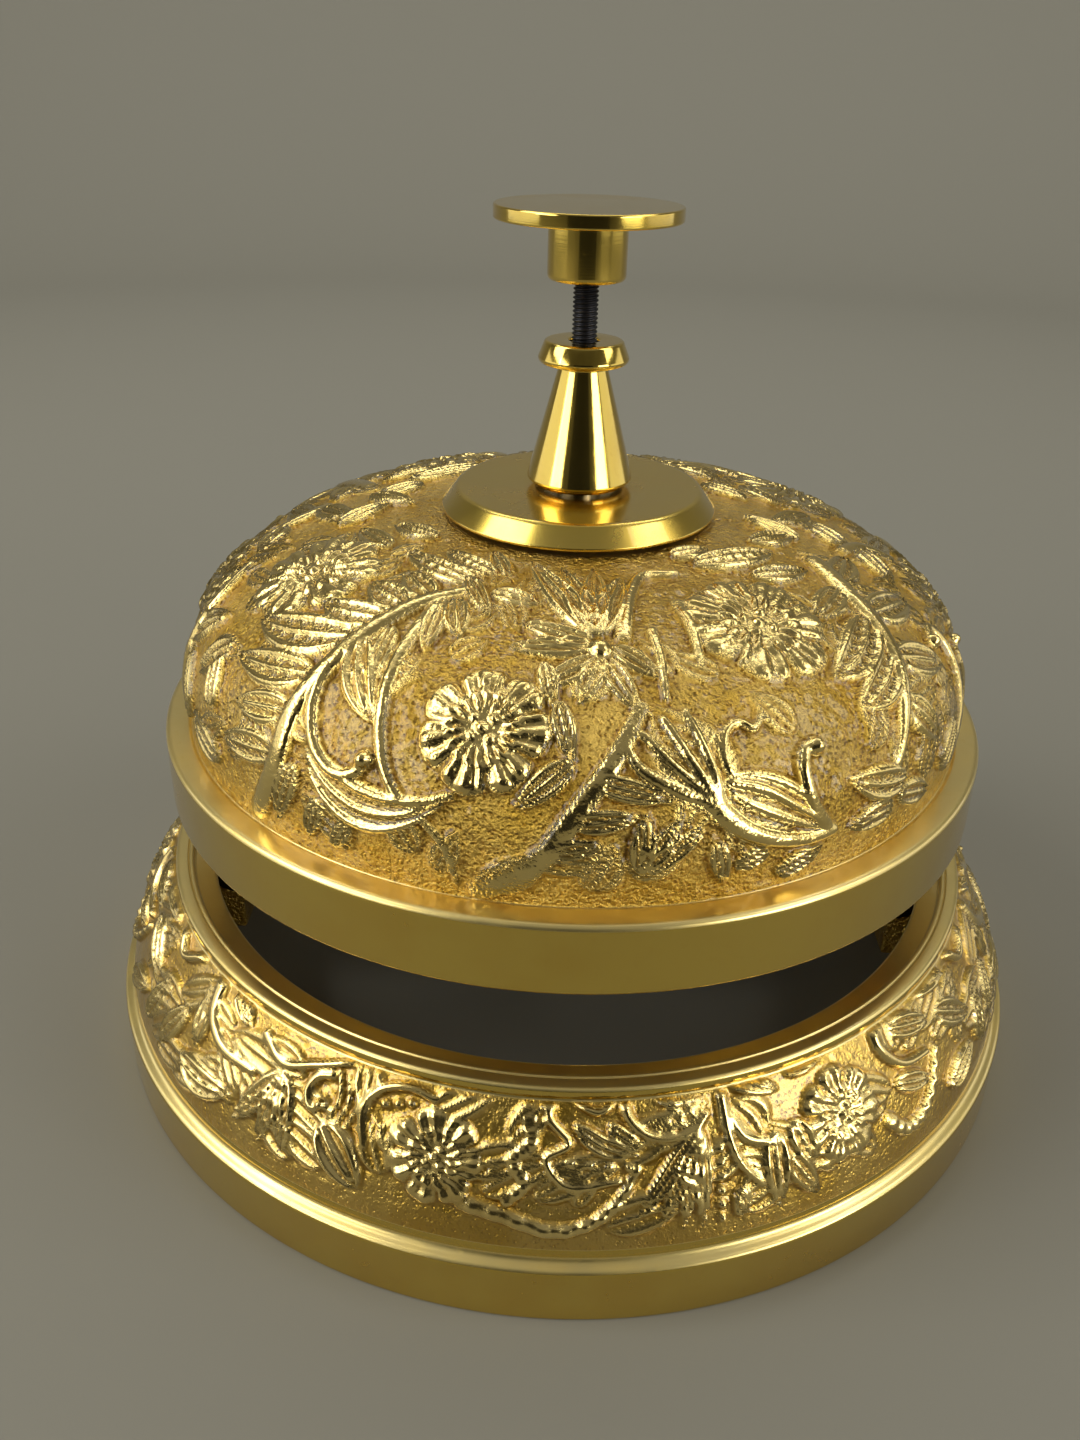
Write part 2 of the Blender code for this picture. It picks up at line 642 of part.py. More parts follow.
def make_plunger(parent):
    """Rod, button and the two round nuts that are screwed on the rod."""
    rod = turned(
        "plunger_rod",
        [
            (0.0, ROD_TOP),
            (ROD_RADIUS - ROD_TIP, ROD_TOP),
            (ROD_RADIUS, ROD_TOP - ROD_TIP),
            (ROD_RADIUS, ROD_FOOT + ROD_TIP),
            (ROD_RADIUS - ROD_TIP, ROD_FOOT),
            (0.0, ROD_FOOT),
        ],
        FINE,
        closed=False,
    )
    button = turned(
        "push_button",
        [
            (0.0, BUTTON_TOP),
            (BUTTON_RADIUS - BUTTON_EDGE, BUTTON_TOP),
            (BUTTON_RADIUS, BUTTON_TOP - BUTTON_EDGE),
            (BUTTON_RADIUS, BUTTON_UNDERSIDE + BUTTON_EDGE),
            (BUTTON_RADIUS - BUTTON_EDGE, BUTTON_UNDERSIDE),
            (BUTTON_BOSS_RADIUS, BUTTON_UNDERSIDE),
            (BUTTON_BOSS_RADIUS, BUTTON_FOOT + BUTTON_BOSS_EDGE),
            (BUTTON_BOSS_RADIUS - BUTTON_BOSS_EDGE, BUTTON_FOOT),
            (ROD_BORE, BUTTON_FOOT),
            (ROD_BORE, ROD_TOP + SEAT_GAP),
            (0.0, ROD_TOP + SEAT_GAP),
        ],
        COARSE,
        closed=False,
    )
    striker = washer("striker_nut", STRIKER_RADIUS, ROD_BORE, STRIKER_SEAT, STRIKER_HEIGHT)
    spring_nut = washer("spring_nut", SPRING_NUT_RADIUS, ROD_BORE, SPRING_NUT_SEAT, SPRING_NUT_HEIGHT)
    dress(rod, DARK_STEEL)
    dress(button, TURNED_BRASS)
    dress(striker, BRIGHT_STEEL)
    dress(spring_nut, BRIGHT_STEEL)
    for obj in (rod, button, striker, spring_nut):
        obj.parent = parent


def make_return_spring():
    """Compression spring round the rod, between the chamber's floor and the spring nut."""
    floor = CHAMBER_FLOOR + SEAT_GAP + SPRING_WIRE / 2
    ceiling = SPRING_NUT_SEAT - SEAT_GAP - SPRING_WIRE / 2
    radius = SPRING_CHAMBER_RADIUS - BORE_GAP - SPRING_WIRE / 2
    per_turn = ARC_POINTS
    count = SPRING_TURNS * per_turn + 1
    curve = bpy.data.curves.new("return_spring", "CURVE")
    curve.dimensions = "3D"
    curve.bevel_depth = SPRING_WIRE / 2
    curve.bevel_resolution = 1
    curve.use_fill_caps = True
    spline = curve.splines.new("POLY")
    spline.points.add(count - 1)
    for i, point in enumerate(spline.points):
        angle = 2 * math.pi * i / per_turn
        # The end turns lie flat, so the rise eases in and out.
        share = i / (count - 1)
        ease = share - math.sin(2 * math.pi * share) / (2 * math.pi) * SPRING_END_EASE
        height = floor + (ceiling - floor) * ease
        point.co = (radius * math.cos(angle), radius * math.sin(angle), height, 1.0)
    obj = bpy.data.objects.new("return_spring", curve)
    PARTS.objects.link(obj)
    return dress(settle(obj), BRIGHT_STEEL)


def strike_centres():
    """Return the hammer head's centre as (y, z), at rest and with the button held down."""
    reach = DOME_INNER_RADIUS
    rise = DOME_INNER_RISE
    up = crown_height(STRIKE_RADIUS, reach, rise)
    power = DOME_CROWN_POWER
    normal = Vector(
        ((STRIKE_RADIUS / reach) ** (power - 1) / reach, (up / rise) ** (power - 1) / rise)
    ).normalized()
    wall = Vector((STRIKE_RADIUS, DOME_LEDGE_HEIGHT + up))
    struck = wall - normal * (HEAD_RADIUS + STRIKE_GAP)
    pivot = Vector((PIVOT_REACH, PIVOT_HEIGHT))
    arm = struck - pivot
    turn = Matrix.Rotation(-SWING, 2)
    return pivot + turn @ arm, struck


def strip_outline(points, half_widths):
    """Return a closed outline round a chain of points, with a round end at each end."""
    points = [Vector(point) for point in points]
    left = []
    right = []
    for i, point in enumerate(points):
        before = points[max(i - 1, 0)]
        after = points[min(i + 1, len(points) - 1)]
        along = (after - before).normalized()
        across = Vector((-along.y, along.x))
        if 0 < i < len(points) - 1:
            left.append(point + across * half_widths[i])
            right.append(point - across * half_widths[i])
            continue
        # A half circle round the end, from one side of the strip to the other.
        start = math.atan2(across.y, across.x)
        for k in range(ARC_POINTS + 1):
            angle = start + math.pi * k / ARC_POINTS * (1 if i == 0 else -1)
            end = point + half_widths[i] * Vector((math.cos(angle), math.sin(angle)))
            (right if i == 0 else left).append(end)
    return [tuple(p) for p in right] + [tuple(p) for p in reversed(left)]


def make_hammer(parent):
    """Lever with its nose under the striker nut, the ball head on it and the rivet through both."""
    pivot = Vector((PIVOT_REACH, PIVOT_HEIGHT))
    rest, _ = strike_centres()
    eye = rest - pivot
    nose = Vector((-PIVOT_REACH, NOSE_ABOVE_PIVOT))
    knee = Vector((LEVER_NOSE_RUN - PIVOT_REACH, NOSE_ABOVE_PIVOT - LEVER_NOSE_DROP))
    hub = Vector((LEVER_HUB_RADIUS, 0.0))
    tail = LEVER_HALF_WIDTH
    arm = LEVER_EYE_RADIUS
    outline = strip_outline(
        [nose, knee, -hub, (0.0, 0.0), hub, eye],
        [tail, tail, arm, LEVER_HUB_RADIUS, arm, arm],
    )
    loops = [
        outline,
        circle_points(0.0, 0.0, PIVOT_RADIUS + BORE_GAP),
        circle_points(eye.x, eye.y, HEAD_RIVET_RADIUS + BORE_GAP),
    ]
    # The outline's x runs along world Y and its y up world Z.
    stand = Matrix(((0, 0, 1, 0), (1, 0, 0, 0), (0, 1, 0, 0), (0, 0, 0, 1)))
    at_pivot = Matrix.Translation((HAMMER_OFFSET, PIVOT_REACH, PIVOT_HEIGHT))
    lever = dress(plate("hammer_lever", loops, LEVER_THICKNESS, at_pivot @ stand), BRIGHT_STEEL)

    centre = Vector((HAMMER_OFFSET, rest.x, rest.y))
    mesh = bpy.data.meshes.new("hammer_head")
    work = bmesh.new()
    bmesh.ops.create_uvsphere(work, u_segments=FINE, v_segments=ARC_POINTS, radius=HEAD_RADIUS)
    work.to_mesh(mesh)
    work.free()
    head = add_object("hammer_head", mesh)
    head.location = centre
    # The slot runs the way that the arm comes in.
    half = LEVER_THICKNESS / 2 + SEAT_GAP
    side = arm + 2 * SEAT_GAP
    slot = box_cutter("head_slot", (-half, -2 * HEAD_RADIUS, -side), (half, arm + SEAT_GAP, side))
    way = eye - hub
    slot.matrix_world = Matrix.Translation(centre) @ Matrix.Rotation(math.atan2(way.y, way.x), 4, "X")
    head = boolean(head, slot, "DIFFERENCE")
    hole = rod_cutter("head_hole", HEAD_RIVET_RADIUS + BORE_GAP, 4 * HEAD_RADIUS, along_x(*centre))
    head = dress(boolean(head, hole, "DIFFERENCE"), TURNED_BRASS)

    reach = math.sqrt(HEAD_RADIUS**2 - HEAD_RIVET_RADIUS**2)
    rivet = turned(
        "head_rivet",
        [(0.0, reach), (HEAD_RIVET_RADIUS, reach), (HEAD_RIVET_RADIUS, -reach), (0.0, -reach)],
        FINE,
        closed=False,
    )
    rivet.matrix_world = along_x(*centre)
    dress(rivet, BRIGHT_STEEL)
    for obj in (lever, head, rivet):
        keep = obj.matrix_world.copy()
        obj.parent = parent
        obj.matrix_parent_inverse = parent.matrix_world.inverted()
        obj.matrix_world = keep


def make_bracket():
    """Plate clamped on the post's shoulder, with two ears that hold the hammer's pin."""
    front = -BRACKET_BACK
    ear_back = PIVOT_REACH + BRACKET_EAR_WIDTH / 2
    ear_front = PIVOT_REACH - BRACKET_EAR_WIDTH / 2
    side = max(BRACKET_WIDTH / 2, HAMMER_OFFSET + EAR_OUTER)
    outline = [(-side, front), (side, front), (side, ear_back), (-side, ear_back)]
    loops = [outline, circle_points(0.0, 0.0, POST_RADIUS + BORE_GAP, MIDDLE)]
    matrix = Matrix.Translation((0.0, 0.0, BRACKET_SEAT + BRACKET_THICKNESS / 2))
    bracket = plate("hammer_bracket", loops, BRACKET_THICKNESS, matrix)
    half = BRACKET_EAR_WIDTH / 2
    for sign in (-1, 1):
        inner = HAMMER_OFFSET + sign * EAR_INNER
        outer = HAMMER_OFFSET + sign * EAR_OUTER
        foot = box_cutter(
            "ear_foot",
            (min(inner, outer), ear_front, BRACKET_SEAT + BRACKET_THICKNESS / 2),
            (max(inner, outer), ear_back, PIVOT_HEIGHT),
        )
        crown = rod_cutter(
            "ear_crown", half, BRACKET_EAR_THICKNESS, along_x((inner + outer) / 2, PIVOT_REACH, PIVOT_HEIGHT)
        )
        bracket = boolean(bracket, boolean(foot, crown, "UNION"), "UNION")
    hole = rod_cutter(
        "pin_hole", PIVOT_RADIUS + BORE_GAP, 4 * EAR_OUTER, along_x(HAMMER_OFFSET, PIVOT_REACH, PIVOT_HEIGHT)
    )
    dress(boolean(bracket, hole, "DIFFERENCE"), DARK_STEEL)
    hex_nut(
        "bracket_nut",
        BRACKET_NUT_FLATS,
        POST_RADIUS + BORE_GAP,
        BRACKET_TOP + SEAT_GAP,
        BRACKET_NUT_HEIGHT,
        BRIGHT_STEEL,
    )


def make_pivot():
    """Headed pin through the ears, its clip and a spacer on each side of the lever."""
    at = along_x(HAMMER_OFFSET, PIVOT_REACH, PIVOT_HEIGHT)
    face = EAR_OUTER + SEAT_GAP
    clip = PIVOT_HEAD_THICKNESS / 2
    end = face + clip + 2 * SEAT_GAP
    pin = turned(
        "pivot_pin",
        [
            (0.0, face + PIVOT_HEAD_THICKNESS),
            (PIVOT_HEAD_RADIUS, face + PIVOT_HEAD_THICKNESS),
            (PIVOT_HEAD_RADIUS, face),
            (PIVOT_RADIUS, face),
            (PIVOT_RADIUS, -end),
            (0.0, -end),
        ],
        FINE,
        closed=False,
    )
    bore = PIVOT_RADIUS + BORE_GAP
    ring = washer("pin_clip", PIVOT_HEAD_RADIUS, bore, -face - clip, clip, FINE)
    spacers = []
    for sign, label in ((-1, "left"), (1, "right")):
        middle = sign * (LEVER_THICKNESS / 2 + SEAT_GAP + PIVOT_SPACER_THICKNESS / 2)
        seat = middle - PIVOT_SPACER_THICKNESS / 2
        name = "pivot_spacer_" + label
        spacers.append(washer(name, PIVOT_SPACER_RADIUS, bore, seat, PIVOT_SPACER_THICKNESS, FINE))
    for obj in (pin, ring, *spacers):
        obj.matrix_world = at
        dress(obj, TURNED_BRASS if obj in spacers else BRIGHT_STEEL)


def make_axis(name, location):
    """Return an empty that marks a moving group's origin on its joint."""
    empty = bpy.data.objects.new(name, None)
    empty.location = location
    PARTS.objects.link(empty)
    bpy.context.view_layer.update()
    return empty


def main():
    """Build the bell from the table up."""
    make_base_ring()
    make_bridge_bar()
    make_bridge_screws()
    make_post()
    make_post_fasteners()
    make_sleeve()
    make_dome_seat()
    make_dome()
    make_cap_washer()
    make_finial()
    make_plunger(make_axis("plunger_axis", (0.0, 0.0, 0.0)))
    make_return_spring()
    make_bracket()
    make_pivot()
    make_hammer(make_axis("hammer_axis", (HAMMER_OFFSET, PIVOT_REACH, PIVOT_HEIGHT)))


main()
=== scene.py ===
"""The look of a cast-brass counter bell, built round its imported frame.

Each class makes one group of pieces from its sizes, in metres, and gives them their finish. The
ornament on the bell and on its base is real relief: flowers, leaves, stems and beads that are laid
on a turned surface, in degrees round from the front and millimetres up the slope.
"""

import json
import logging
import math
from dataclasses import dataclass, replace
from enum import Enum

import bmesh
import bpy
import numpy as np
from mathutils import Matrix, Vector

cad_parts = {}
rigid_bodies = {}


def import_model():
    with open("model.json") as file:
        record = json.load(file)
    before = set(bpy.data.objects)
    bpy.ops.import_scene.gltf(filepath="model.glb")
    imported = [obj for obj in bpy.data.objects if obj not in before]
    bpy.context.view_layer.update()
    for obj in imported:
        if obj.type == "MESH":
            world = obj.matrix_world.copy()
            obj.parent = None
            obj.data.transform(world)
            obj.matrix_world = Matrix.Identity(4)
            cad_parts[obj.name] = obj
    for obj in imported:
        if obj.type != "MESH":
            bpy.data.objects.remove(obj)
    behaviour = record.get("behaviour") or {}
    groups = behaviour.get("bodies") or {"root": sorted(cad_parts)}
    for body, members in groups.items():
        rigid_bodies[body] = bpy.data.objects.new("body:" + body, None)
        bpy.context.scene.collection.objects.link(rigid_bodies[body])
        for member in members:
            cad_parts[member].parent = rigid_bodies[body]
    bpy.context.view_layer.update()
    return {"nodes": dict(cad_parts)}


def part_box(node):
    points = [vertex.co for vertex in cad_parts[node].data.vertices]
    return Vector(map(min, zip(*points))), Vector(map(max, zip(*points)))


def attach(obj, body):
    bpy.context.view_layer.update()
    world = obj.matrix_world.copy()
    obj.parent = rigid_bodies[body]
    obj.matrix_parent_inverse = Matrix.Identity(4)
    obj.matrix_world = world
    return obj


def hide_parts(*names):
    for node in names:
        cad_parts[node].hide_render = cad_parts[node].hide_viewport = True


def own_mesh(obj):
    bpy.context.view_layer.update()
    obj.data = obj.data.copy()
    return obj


LOG = logging.getLogger("counter_bell")
MM = 0.001
NEAR_AXIS = 1e-7
SHARP_ANGLE = math.radians(35)
WORLD_COLOUR = (1.0, 0.97, 0.90)
WINDOW_COLOUR = (1.0, 0.99, 0.96)

Colour = tuple[float, float, float]
Point = tuple[float, float, float]
Spot = tuple[float, float]  # degrees round to the right of the front, millimetres up the slope
Section = list[tuple[float, float]]  # (radius, height) in metres, down the outside, up the inside


class Body(Enum):
    """The bodies of the frame that pieces ride on."""

    FRAME = "bell_frame"
    PLUNGER = "plunger"
    HAMMER = "hammer"


class Slot(Enum):
    """The record's material slots."""

    CAST_BRASS = "cast_brass"
    POLISHED_BRASS = "polished_brass"
    BLACK_STEEL = "black_steel"
    BRIGHT_STEEL = "bright_steel"
    LEATHER = "leather"


# Shader nodes


class Signal:
    """A shader output that takes part in Python arithmetic, one Math node for each step."""

    def __init__(self, recipe: "Recipe", socket: bpy.types.NodeSocket) -> None:
        """Keep the output and the recipe that it belongs to."""
        self.recipe = recipe
        self.socket = socket

    def step(self, operation: str, *values: "Signal | float") -> "Signal":
        """Return a Math node's result for these values, in their order."""
        return self.recipe.node("ShaderNodeMath", {"operation": operation}, dict(enumerate(values)))

    def __add__(self, other: "Signal | float") -> "Signal":
        """Return self + other."""
        return self.step("ADD", self, other)

    def __radd__(self, other: float) -> "Signal":
        """Return other + self."""
        return self.step("ADD", other, self)

    def __sub__(self, other: "Signal | float") -> "Signal":
        """Return self - other."""
        return self.step("SUBTRACT", self, other)

    def __rsub__(self, other: float) -> "Signal":
        """Return other - self."""
        return self.step("SUBTRACT", other, self)

    def __mul__(self, other: "Signal | float") -> "Signal":
        """Return self * other."""
        return self.step("MULTIPLY", self, other)

    def __rmul__(self, other: float) -> "Signal":
        """Return other * self."""
        return self.step("MULTIPLY", other, self)

    def between(self, low: float, high: float) -> "Signal":
        """Return 0 below low and 1 above high, with a smooth step from one to the other."""
        settings = {"interpolation_type": "SMOOTHSTEP"}
        return self.recipe.node("ShaderNodeMapRange", settings, {"Value": self, 1: low, 2: high})


class Recipe:
    """The nodes of one material, or of the world."""

    def __init__(self, tree: bpy.types.NodeTree) -> None:
        """Keep the node tree that nodes are added to."""
        self.tree = tree

    def node(
        self,
        kind: str,
        settings: dict[str, object] | None = None,
        sockets: dict[str | int, object] | None = None,
        out: str | int = 0,
    ) -> Signal:
        """Add a node, set it up and feed its sockets.

        Args:
            kind: The node's type.
            settings: Its own settings, set first.
            sockets: Values or signals, by the input's name or number.
            out: The name or number of the output that is wanted.

        Returns:
            That output.
        """
        node = self.tree.nodes.new(kind)
        for name, value in (settings or {}).items():
            setattr(node, name, value)
        for name, value in (sockets or {}).items():
            self.feed(node.inputs[name], value)
        return Signal(self, node.outputs[out])

    def feed(self, socket: bpy.types.NodeSocket, value: object) -> None:
        """Link a signal to an input, or set the input's own value.

        Args:
            socket: The input.
            value: The signal, number, or colour of three numbers.
        """
        if isinstance(value, Signal):
            self.tree.links.new(value.socket, socket)
        elif socket.type == "RGBA":
            socket.default_value = (*value, 1.0)
        else:
            socket.default_value = value

    def place(self) -> Signal:
        """Return the point on the piece, in metres."""
        return self.node("ShaderNodeTexCoord", out="Object")

    def noise(self, size: float, detail: float) -> Signal:
        """Return soft noise from 0 to 1 whose patches are about that size, in metres."""
        sockets = {"Vector": self.place(), "Scale": 1.0 / size, "Detail": detail}
        return self.node("ShaderNodeTexNoise", sockets=sockets)

    def pits(self, size: float) -> Signal:
        """Return the distance to scattered points about that far apart, from 0 to 1."""
        return self.node("ShaderNodeTexVoronoi", sockets={"Vector": self.place(), "Scale": 1.0 / size})

    def attribute(self, name: str) -> Signal:
        """Return a number that the mesh holds at each point."""
        return self.node("ShaderNodeAttribute", {"attribute_name": name}, out="Fac")

    def blend(self, share: Signal | float, low: object, high: object) -> Signal:
        """Return a colour between two others."""
        return self.node("ShaderNodeMix", {"data_type": "RGBA"}, {0: share, 6: low, 7: high}, out=2)

    def turning_marks(self, pitch: float) -> Signal:
        """Return fine rings round the Z axis, as a lathe leaves on a face and on a wall.

        Args:
            pitch: The mean distance from ring to ring, in metres.

        Returns:
            Noise from 0 to 1 that is the same all round.
        """
        across = self.node("ShaderNodeVectorMath", {"operation": "MULTIPLY"}, {0: self.place(), 1: (1, 1, 0)})
        radius = self.node("ShaderNodeVectorMath", {"operation": "LENGTH"}, {0: across}, out="Value")
        height = self.node("ShaderNodeSeparateXYZ", sockets={0: self.place()}, out="Z")
        way = (radius + height) * (1.0 / pitch)
        sockets = {"W": way, "Scale": 1.0, "Detail": 3.0}
        return self.node("ShaderNodeTexNoise", {"noise_dimensions": "1D"}, sockets)

    def bump(self, height: Signal, depth: float) -> Signal:
        """Return a normal bumped by a height from 0 to 1 that stands for that depth in metres."""
        return self.node("ShaderNodeBump", sockets={"Height": height, "Distance": depth})


class Finish:
    """Base of the finishes: it makes each material once and hands it out again."""

    label: str
    made: dict[str, bpy.types.Material] = {}

    def material(self) -> bpy.types.Material:
        """Return this finish as a material.

        Returns:
            The material, which is made the first time and shared after that.
        """
        name = type(self).__name__ + "_" + self.label
        if name not in self.made:
            material = bpy.data.materials.new(name)
            material.use_nodes = True
            recipe = Recipe(material.node_tree)
            shader = material.node_tree.nodes["Principled BSDF"]
            for socket, value in self.sockets(recipe).items():
                recipe.feed(shader.inputs[socket], value)
            self.made[name] = material
        return self.made[name]

    def sockets(self, recipe: Recipe) -> dict[str, object]:
        """Return what feeds each socket of the shader.

        Args:
            recipe: The material's nodes, which it adds to.

        Returns:
            Values and signals, by the name of the shader's input.
        """
        raise NotImplementedError


@dataclass(frozen=True)
class PolishedBrass(Finish):
    """Turned brass, polished bright, with faint lathe rings, haze and a warm tarnish."""

    label: str = "turned"
    colour: Colour = (0.80, 0.58, 0.11)
    tarnish: Colour = (0.68, 0.43, 0.06)
    gloss: float = 0.10
    haze: float = 0.12
    mark_pitch: float = 0.22 * MM
    mark_depth: float = 0.0016 * MM
    cloud_size: float = 9 * MM
    lacquer: float = 0.7
    speck_size: float = 0.9 * MM
    wave_size: float = 2.4 * MM

    def sockets(self, recipe: Recipe) -> dict[str, object]:
        """Return what feeds each socket of the shader.

        Args:
            recipe: The material's nodes, which it adds to.

        Returns:
            Values and signals, by the name of the shader's input.
        """
        cloud = recipe.noise(self.cloud_size, 3.0).between(0.35, 0.75)
        specks = recipe.noise(self.speck_size, 2.0).between(0.60, 0.75)
        marks = recipe.turning_marks(self.mark_pitch)
        waves = recipe.noise(self.wave_size, 1.0)
        return {
            "Base Color": recipe.blend(cloud * 0.45 + specks * 0.2, self.colour, self.tarnish),
            "Metallic": 1.0,
            "Roughness": self.gloss + cloud * self.haze + specks * 0.05,
            "Normal": recipe.bump(marks + waves * 1.2, self.mark_depth),
            "Coat Weight": self.lacquer,
            "Coat Roughness": 0.05,
        }


@dataclass(frozen=True)
class CastBrass(Finish):
    """Sand-cast brass: polished where it stands proud, pitted and browner in the hollows, with painted shade
    in the creases round the motifs and the pits painted darker.
    """

    label: str = "relief"
    colour: Colour = (0.87, 0.67, 0.24)
    shade: Colour = (0.55, 0.34, 0.045)
    # Painted shade for the creases round the motifs, and the darker colour of the pits
    crease_shade_and_pit_dark: Colour = (0.35, 0.19, 0.02)
    gloss: float = 0.14
    grain: float = 0.12
    pit_size: float = 0.56 * MM
    pit_depth: float = 0.34 * MM
    pit_darkening: float = 0.7
    lacquer: float = 0.55
    sand_size: float = 0.42 * MM
    wave_size: float = 1.6 * MM
    cloud_size: float = 7 * MM

    def sockets(self, recipe: Recipe) -> dict[str, object]:
        """Return what feeds each socket of the shader.

        Args:
            recipe: The material's nodes, which it adds to.

        Returns:
            Values and signals, by the name of the shader's input.
        """
        proud = recipe.attribute("proud").between(0.15, 0.75)
        # How far a point lies in a crease: it sets the painted shade there
        crease = recipe.attribute("crease").between(0.02, 0.30)
        ground = 1.0 - proud
        pits = recipe.pits(self.pit_size).between(0.05, 0.45)
        sand = recipe.noise(self.sand_size, 4.0)
        waves = recipe.noise(self.wave_size, 2.0)
        cloud = recipe.noise(self.cloud_size, 2.0).between(0.35, 0.7)
        bare = recipe.blend(ground * 0.75 + cloud * 0.25, self.colour, self.shade)
        holes = (1.0 - pits) * ground
        rough = pits * 0.6 + sand * 1.4
        height = rough * (ground * 0.9 + 0.10) + waves * 0.35
        return {
            # Creases get painted shade and pits are painted darker, in the same dark brown
            "Base Color": recipe.blend(crease * 0.8 + holes * self.pit_darkening, bare, self.crease_shade_and_pit_dark),
            "Metallic": 1.0,
            "Roughness": self.gloss + ground * self.grain + crease * 0.12 + sand * 0.06,
            "Normal": recipe.bump(height, self.pit_depth),
            "Coat Weight": self.lacquer,
            "Coat Roughness": 0.12,
        }


@dataclass(frozen=True)
class Steel(Finish):
    """Steel with a fine grain and darker patches, bright or blackened."""

    label: str
    colour: Colour
    stain: Colour
    gloss: float
    grain_size: float = 0.25 * MM
    grain_depth: float = 0.012 * MM
    patch_size: float = 3 * MM

    def sockets(self, recipe: Recipe) -> dict[str, object]:
        """Return what feeds each socket of the shader.

        Args:
            recipe: The material's nodes, which it adds to.

        Returns:
            Values and signals, by the name of the shader's input.
        """
        grain = recipe.noise(self.grain_size, 3.0)
        patches = recipe.noise(self.patch_size, 2.0).between(0.4, 0.7)
        return {
            "Base Color": recipe.blend(patches * 0.7 + grain * 0.3, self.colour, self.stain),
            "Metallic": 1.0,
            "Roughness": self.gloss + patches * 0.12 + grain * 0.1,
            "Normal": recipe.bump(grain, self.grain_depth),
        }


@dataclass(frozen=True)
class Leather(Finish):
    """Brown leather with a pebbled grain."""

    label: str = "brown"
    colour: Colour = (0.20, 0.10, 0.045)
    groove: Colour = (0.07, 0.03, 0.015)
    pebble_size: float = 0.7 * MM
    pebble_depth: float = 0.06 * MM

    def sockets(self, recipe: Recipe) -> dict[str, object]:
        """Return what feeds each socket of the shader.

        Args:
            recipe: The material's nodes, which it adds to.

        Returns:
            Values and signals, by the name of the shader's input.
        """
        pebbles = recipe.pits(self.pebble_size).between(0.0, 0.6)
        return {
            "Base Color": recipe.blend(pebbles, self.groove, self.colour),
            "Roughness": 0.85 - pebbles * 0.15,
            "Normal": recipe.bump(pebbles, self.pebble_depth),
        }


@dataclass(frozen=True)
class Matt(Finish):
    """A plain dull surface, for what stands round the bell."""

    label: str
    colour: Colour
    roughness: float
    specular: float = 0.5

    def sockets(self, recipe: Recipe) -> dict[str, object]:
        """Return what feeds each socket of the shader."""
        return {"Base Color": self.colour, "Roughness": self.roughness, "Specular IOR Level": self.specular}


TURNED = PolishedBrass()
SATIN = PolishedBrass("satin", gloss=0.20, haze=0.10, mark_depth=0.003 * MM)
BAND = PolishedBrass("band", gloss=0.15, haze=0.10, mark_pitch=0.35 * MM, mark_depth=0.0035 * MM)
# Satin brass for the upward-facing plain faces: the rougher satin is the real machined finish, and the paler
# colour is a painted sheen
MACHINED_WITH_SHEEN = PolishedBrass(
    "machined_sheen", (0.86, 0.68, 0.26), (0.78, 0.56, 0.14), gloss=0.32, haze=0.08, mark_depth=0.004 * MM
)
RELIEF = CastBrass()
SOFT_RELIEF = CastBrass("soft_relief", pit_depth=0.08 * MM, pit_darkening=0.3, gloss=0.18, lacquer=0.9)
BLACK_STEEL = Steel("black", (0.045, 0.045, 0.05), (0.02, 0.02, 0.022), 0.38)
BRIGHT_STEEL = Steel("bright", (0.56, 0.55, 0.52), (0.36, 0.34, 0.31), 0.22)
LEATHER = Leather()


# Turned shapes


def rounded(corners: list[tuple[float, float, float]], steps: int = 5) -> Section:
    """Round the corners of a section.

    Args:
        corners: (radius, height, rounding) of each corner, in order round the section.
        steps: Points in each rounding.

    Returns:
        The section's points.
    """
    points = [Vector(corner[:2]) for corner in corners]
    section = []
    for i, (point, corner) in enumerate(zip(points, corners)):
        before = points[i - 1] - point
        after = points[(i + 1) % len(points)] - point
        reach = min(corner[2], 0.48 * before.length, 0.48 * after.length)
        if reach <= 0 or i in (0, len(points) - 1):
            section.append(tuple(point))
            continue
        start = point + before.normalized() * reach
        end = point + after.normalized() * reach
        for k in range(steps):
            t = k / (steps - 1)
            section.append(tuple((1 - t) ** 2 * start + 2 * t * (1 - t) * point + t**2 * end))
    return section


def grid_object(name: str, points: np.ndarray, closed: bool) -> bpy.types.Object:
    """Make an object from rings of points round the Z axis.

    Args:
        name: The object's name.
        points: Array of rings, points round each ring, and x, y, z.
        closed: Whether the last ring joins the first.

    Returns:
        The object, smooth, with rings on the axis drawn together.
    """
    rows, columns = points.shape[:2]
    index = np.arange(rows * columns).reshape(rows, columns)
    lower = np.roll(index, -1, axis=0) if closed else index[1:]
    upper = index if closed else index[:-1]
    quads = np.stack([upper, lower, np.roll(lower, -1, 1), np.roll(upper, -1, 1)], -1)
    mesh = bpy.data.meshes.new(name)
    mesh.from_pydata(points.reshape(-1, 3).tolist(), [], quads.reshape(-1, 4).tolist())
    if not closed:
        draw_together(mesh)
    mesh.shade_smooth()
    obj = bpy.data.objects.new(name, mesh)
    bpy.context.scene.collection.objects.link(obj)
    return obj


def draw_together(mesh: bpy.types.Mesh) -> None:
    """Join the points that lie on the Z axis, so that a solid's two ends close.

    Args:
        mesh: The mesh, which is changed in place.
    """
    work = bmesh.new()
    work.from_mesh(mesh)
    on_axis = [v for v in work.verts if v.co.xy.length < NEAR_AXIS]
    bmesh.ops.remove_doubles(work, verts=on_axis, dist=NEAR_AXIS)
    work.to_mesh(mesh)
    work.free()


def angles(columns: int) -> np.ndarray:
    """Return the turns of a ring's points from the front, in radians."""
    return np.linspace(0, 2 * math.pi, columns, endpoint=False)


